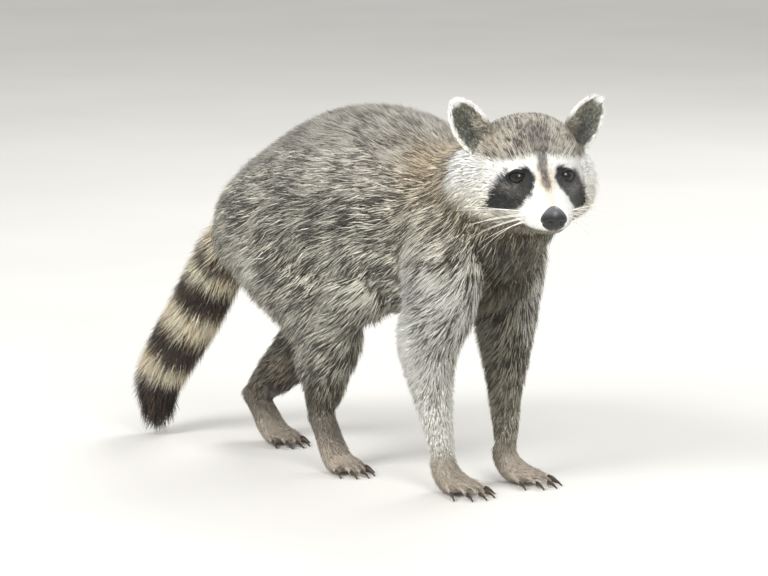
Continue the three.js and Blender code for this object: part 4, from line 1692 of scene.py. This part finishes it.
# A ball round the gaze, with the cornea's bulge as a bell over the pupil.
def makeEye(name, side):
    axes = eyeAxes(side)
    rings, around = eyeShape["rings"], eyeShape["around"]
    polar = np.linspace(eyeShape["pole"], math.pi - eyeShape["pole"], rings)
    angle = anglesRound(around)
    bulge = np.exp(-((polar / math.radians(eyeShape["corneaReach"])) ** 2))
    radius = headStance["eyeRadius"] + eyeShape["cornea"] * bulge
    points = (aimed(polar[:, None], angle, axes) * radius[:, None, None]).reshape(-1, 3)
    verts = np.concatenate([axes[0][None] * radius[0], points, axes[0][None] * -radius[-1]])
    faces = facingOut(verts, shellFaces(rings, around))
    share = np.concatenate([[0], np.repeat(polar, around), [math.pi]]) / math.pi
    turn = np.concatenate([[0], np.tile(angle, rings), [0]]) / (2 * math.pi)
    uv = np.column_stack([share, turn])[faces.ravel()]
    eye = meshFrom(f"eyeball_{name}", fromHead(verts + onSide(headStance["eye"], side)), faces, uv)
    eye.data.uv_layers[0].name = "polar"
    finishPiece(eye, "wetEye", [f"eye_{name}"])


# Both lids of an eye as one ring, whose section is a rounded rim that runs out under the coat. The
# rim's angle r from the gaze follows (|cos| / across)p + (|sin| / up)p = r to the power of -p.
def makeLids(name, side):
    around = eyeShape["lidAround"]
    angle = anglesRound(around)
    openUp = eyeShape["openUp"] * np.where(np.sin(angle) > 0, 1.0, eyeShape["lowerShare"])
    power = eyeShape["power"]
    across, up = np.abs(np.cos(angle)) / eyeShape["openAcross"], np.abs(np.sin(angle)) / openUp
    opening = np.radians((across**power + up**power) ** (-1 / power))
    beyond, height = np.array(eyeShape["lidSection"]).T[..., None]
    polar = opening + np.radians(beyond)
    out = headStance["eyeRadius"] + eyeShape["lidGap"] + eyeShape["lidThick"] * height * np.ones_like(polar)
    verts = (aimed(polar, angle, eyeAxes(side)) * out[..., None]).reshape(-1, 3)
    sections = len(beyond)
    faces = facingOut(verts, ringFaces(sections, around))
    level = np.tile(np.sin(angle) * 0.5 + 0.5, sections)
    along = np.repeat(np.arange(sections) / sections, around)
    uv = np.column_stack([along, level])[faces.ravel()]
    lids = meshFrom(f"lids_{name}", fromHead(verts + onSide(headStance["eye"], side)), faces, uv)
    lids.data.uv_layers[0].name = "section"
    finishPiece(lids, "lidSkin")


noseShape = {
    "radii": (9.4, 12.1, 11.1),
    "narrowTop": 0.3,
    "nostril": 2.8,
    "nostrilAt": (6.6, 5.0, -2.2),
    "wingAt": (2.5, 10.2, -4.4),
    "groove": 0.9,
    "wing": 1.5,
    "leather": (17, 17, 18),
    # painted reflection: the lighter grey given to the upward-facing top of the nose
    "top": (94, 95, 99),
    "pole": 0.02,
    "rings": 70,
    "around": 96,
}


# An egg that narrows towards its top, with bells pushed in for the nostrils, their side slits and the
# groove below. Where it faces up near its top it is painted lighter grey, a painted reflection of the sky.
def makeNose():
    rings, around = noseShape["rings"], noseShape["around"]
    polar = np.linspace(noseShape["pole"], math.pi - noseShape["pole"], rings)[:, None]
    ball = aimed(polar, anglesRound(around), np.eye(3)).reshape(-1, 3)
    verts = np.concatenate([[[1, 0, 0]], ball, [[-1, 0, 0]]]) * np.array(noseShape["radii"])
    verts[:, 1] *= 1 - noseShape["narrowTop"] * ramp(verts[:, 2], -2, 12)
    dent = noseShape["nostril"] * bell(folded(verts), noseShape["nostrilAt"], (4, 2.1, 1.9))
    dent += noseShape["wing"] * bell(folded(verts), noseShape["wingAt"], (4, 2.2, 1.1))
    dent += noseShape["groove"] * bell(verts, (0, 0, 0), (wide, 0.8, wide)) * ramp(verts[:, 2], -0.5, -4)
    faces = facingOut(verts, shellFaces(rings, around))
    verts = verts - vertexNormals(verts, faces) * dent[:, None]
    # painted reflection: the leather turns lighter grey where the nose faces up, near its top
    top = ramp(vertexNormals(verts, faces)[:, 2], 0.15, 0.85) * ramp(verts[:, 2], 0, 7)
    leather, paintedReflection = linearTone(noseShape["leather"]), linearTone(noseShape["top"])
    tone = leather + (paintedReflection - leather) * top[:, None]
    nose = meshFrom("nose", fromHead(verts + np.array(headStance["nose"])), faces, tone=tone)
    finishPiece(nose, "noseLeather", ["nose_pad"])


whiskerShape = {
    "each": 8,  # on a side of the muzzle
    "length": 64,
    "radius": 0.33,
    "brows": 3,
    "browLength": 22,
    "browRadius": 0.22,
    "rings": 12,
    "around": 5,
}


# A hair along a curve that bows as s2, round and running to a point.
def strand(root, heading, droop, length, radius):
    rings, around = whiskerShape["rings"], whiskerShape["around"]
    s = np.linspace(0, 1, rings)[:, None]
    path = root + heading * s * length + droop * s**2 * length
    along = unit(np.gradient(path, axis=0))
    side = unit(np.cross(along, upward + 0.3 * forward))
    over = np.cross(side, along)
    angle = anglesRound(around)
    thick = radius * (1 - s) ** 0.7 + 0.03
    ring = side[:, None] * np.cos(angle)[:, None] + over[:, None] * np.sin(angle)[:, None]
    points = (path[:, None] + ring * thick[:, None]).reshape(-1, 3)
    verts = np.concatenate([path[:1] - along[:1] * 0.5, points, path[-1:]])
    return verts, facingOut(verts - verts.mean(axis=0), shellFaces(rings, around))


# Whiskers fan out from each side of the muzzle, and a few shorter hairs stand over each eye.
def makeWhiskers():
    random = np.random.default_rng(12)
    shells = []
    for side in sides.values():
        for k in range(whiskerShape["each"]):
            share = k / (whiskerShape["each"] - 1)
            root = np.array([74 - 7 * (k % 2), side * (15.5 + 2.5 * (k % 2)), -15 - 9 * share])
            heading = np.array([-0.3 - 0.3 * share, side, 0.04 - 0.45 * share])
            heading = unit(heading + random.normal(0, 0.06, 3))
            droop = np.array([-0.3, 0, -0.1 - 0.42 * share]) * random.uniform(0.6, 1.2)
            length = whiskerShape["length"] * random.uniform(0.7, 1.0) * (1 - 0.25 * share)
            shells.append(strand(root, heading, droop, length, whiskerShape["radius"]))
        for k in range(whiskerShape["brows"]):
            root = np.array([40.0 - 2 * k, side * (16 + 3.5 * k), 22 - 1.2 * k])
            heading = unit(np.array([0.55, side * 0.5, 0.7]) + random.normal(0, 0.08, 3))
            size = whiskerShape["browLength"], whiskerShape["browRadius"]
            shells.append(strand(root, heading, np.array([-0.4, 0, 0.1]), *size))
    verts, faces = joined(shells)
    finishPiece(meshFrom("whiskers", fromHead(verts), faces), "whiskerHair")


# The five claws of a paw in one piece.
def makeClaws():
    for paw in pawShape["stands"]:
        place, _ = pawFrame(paw)
        shells = []
        for n in range(-2, 3):
            claw = {"rows": clawRows(toesOf(paw), n), "dome": (0.5, 0.6), **place}
            shells.append(loft(claw, 14, 14, coat=0))
        verts, faces = joined(shells)
        verts[:, 2] = np.maximum(verts[:, 2], 0)
        piece = meshFrom(f"claws_{paw}", verts, faces)
        finishPiece(piece, "clawHorn", [f"{paw}_claw_{n}" for n in range(1, 6)])


finishSkin()
makeCoat()
makeEarCoat()
for name, side in sides.items():
    makeEye(name, side)
    makeLids(name, side)
makeNose()
makeWhiskers()
makeClaws()
print("pieces made")


# ---- the studio

studio = {
    "floorSize": 30.0,  # metres
    "distance": 3.6,
    "azimuth": 45,
    "elevation": 11.5,
    "aim": (0.0105, 0.1675),  # metres right of and above the animal's origin
    "focal": 178.9,
    "world": 0.72,
    # place in metres, size, power in watts
    "key": ((-0.1, -2.9, 2.25), 1.6, 106),
    "fill": ((2.6, -1.1, 2.25), 1.8, 56),
    "rim": ((-0.6, 2.2, 2.4), 1.5, 45),
}


# A level square under the animal's origin.
def makeFloor():
    half = studio["floorSize"] / 2
    verts = np.array([(-half, -half, 0), (half, -half, 0), (half, half, 0), (-half, half, 0)], float)
    floor = meshFrom("floor", verts, np.array([[0, 1, 2], [0, 2, 3]]), metres=False)
    floor.data.materials.append(materials["paleFloor"])


# Stands a thing at a place so that its own -Z points to the target and its Y is up.
def lookAt(thing, place, target):
    place, target = np.array(place, float), np.array(target, float)
    back = unit(place - target)
    right = unit(np.cross(upward, back))
    over = np.cross(back, right)
    matrix = np.eye(4)
    matrix[:3, :3] = np.column_stack([right, over, back])
    matrix[:3, 3] = place
    thing.matrix_world = Matrix(matrix.tolist())


# Three round lamps that all look at the animal, and a white world.
def makeLights():
    for name in ("key", "fill", "rim"):
        place, size, power = studio[name]
        lamp = bpy.data.lights.new(name, "AREA")
        lamp.shape = "DISK"
        lamp.size = size
        lamp.energy = power
        light = bpy.data.objects.new(name, lamp)
        light.visible_glossy = name != "key"
        bpy.context.scene.collection.objects.link(light)
        lookAt(light, place, (0, 0, 0.18))
    world = bpy.data.worlds.new("studio")
    bpy.context.scene.world = world
    world.use_nodes = True
    background = world.node_tree.nodes["Background"]
    background.inputs["Color"].default_value = (1, 1, 1, 1)
    background.inputs["Strength"].default_value = studio["world"]


# The camera looks from its azimuth and elevation, a little to the side of the animal's origin.
def makeCamera():
    azimuth, elevation = math.radians(studio["azimuth"]), math.radians(studio["elevation"])
    right = np.array([math.cos(azimuth), math.sin(azimuth), 0])
    level = np.array([math.sin(azimuth), -math.cos(azimuth), 0])
    back = level * math.cos(elevation) + upward * math.sin(elevation)
    origin = frameShift * 0.001
    aim = origin + right * studio["aim"][0] + np.cross(back, right) * studio["aim"][1]
    data = bpy.data.cameras.new("camera")
    data.lens = studio["focal"]
    data.sensor_width = 36
    camera = bpy.data.objects.new("camera", data)
    bpy.context.scene.collection.objects.link(camera)
    lookAt(camera, origin + back * studio["distance"], aim)
    bpy.context.scene.camera = camera


makeFloor()
makeLights()
makeCamera()
bpy.context.scene.view_settings.view_transform = "Standard"
print("studio made")
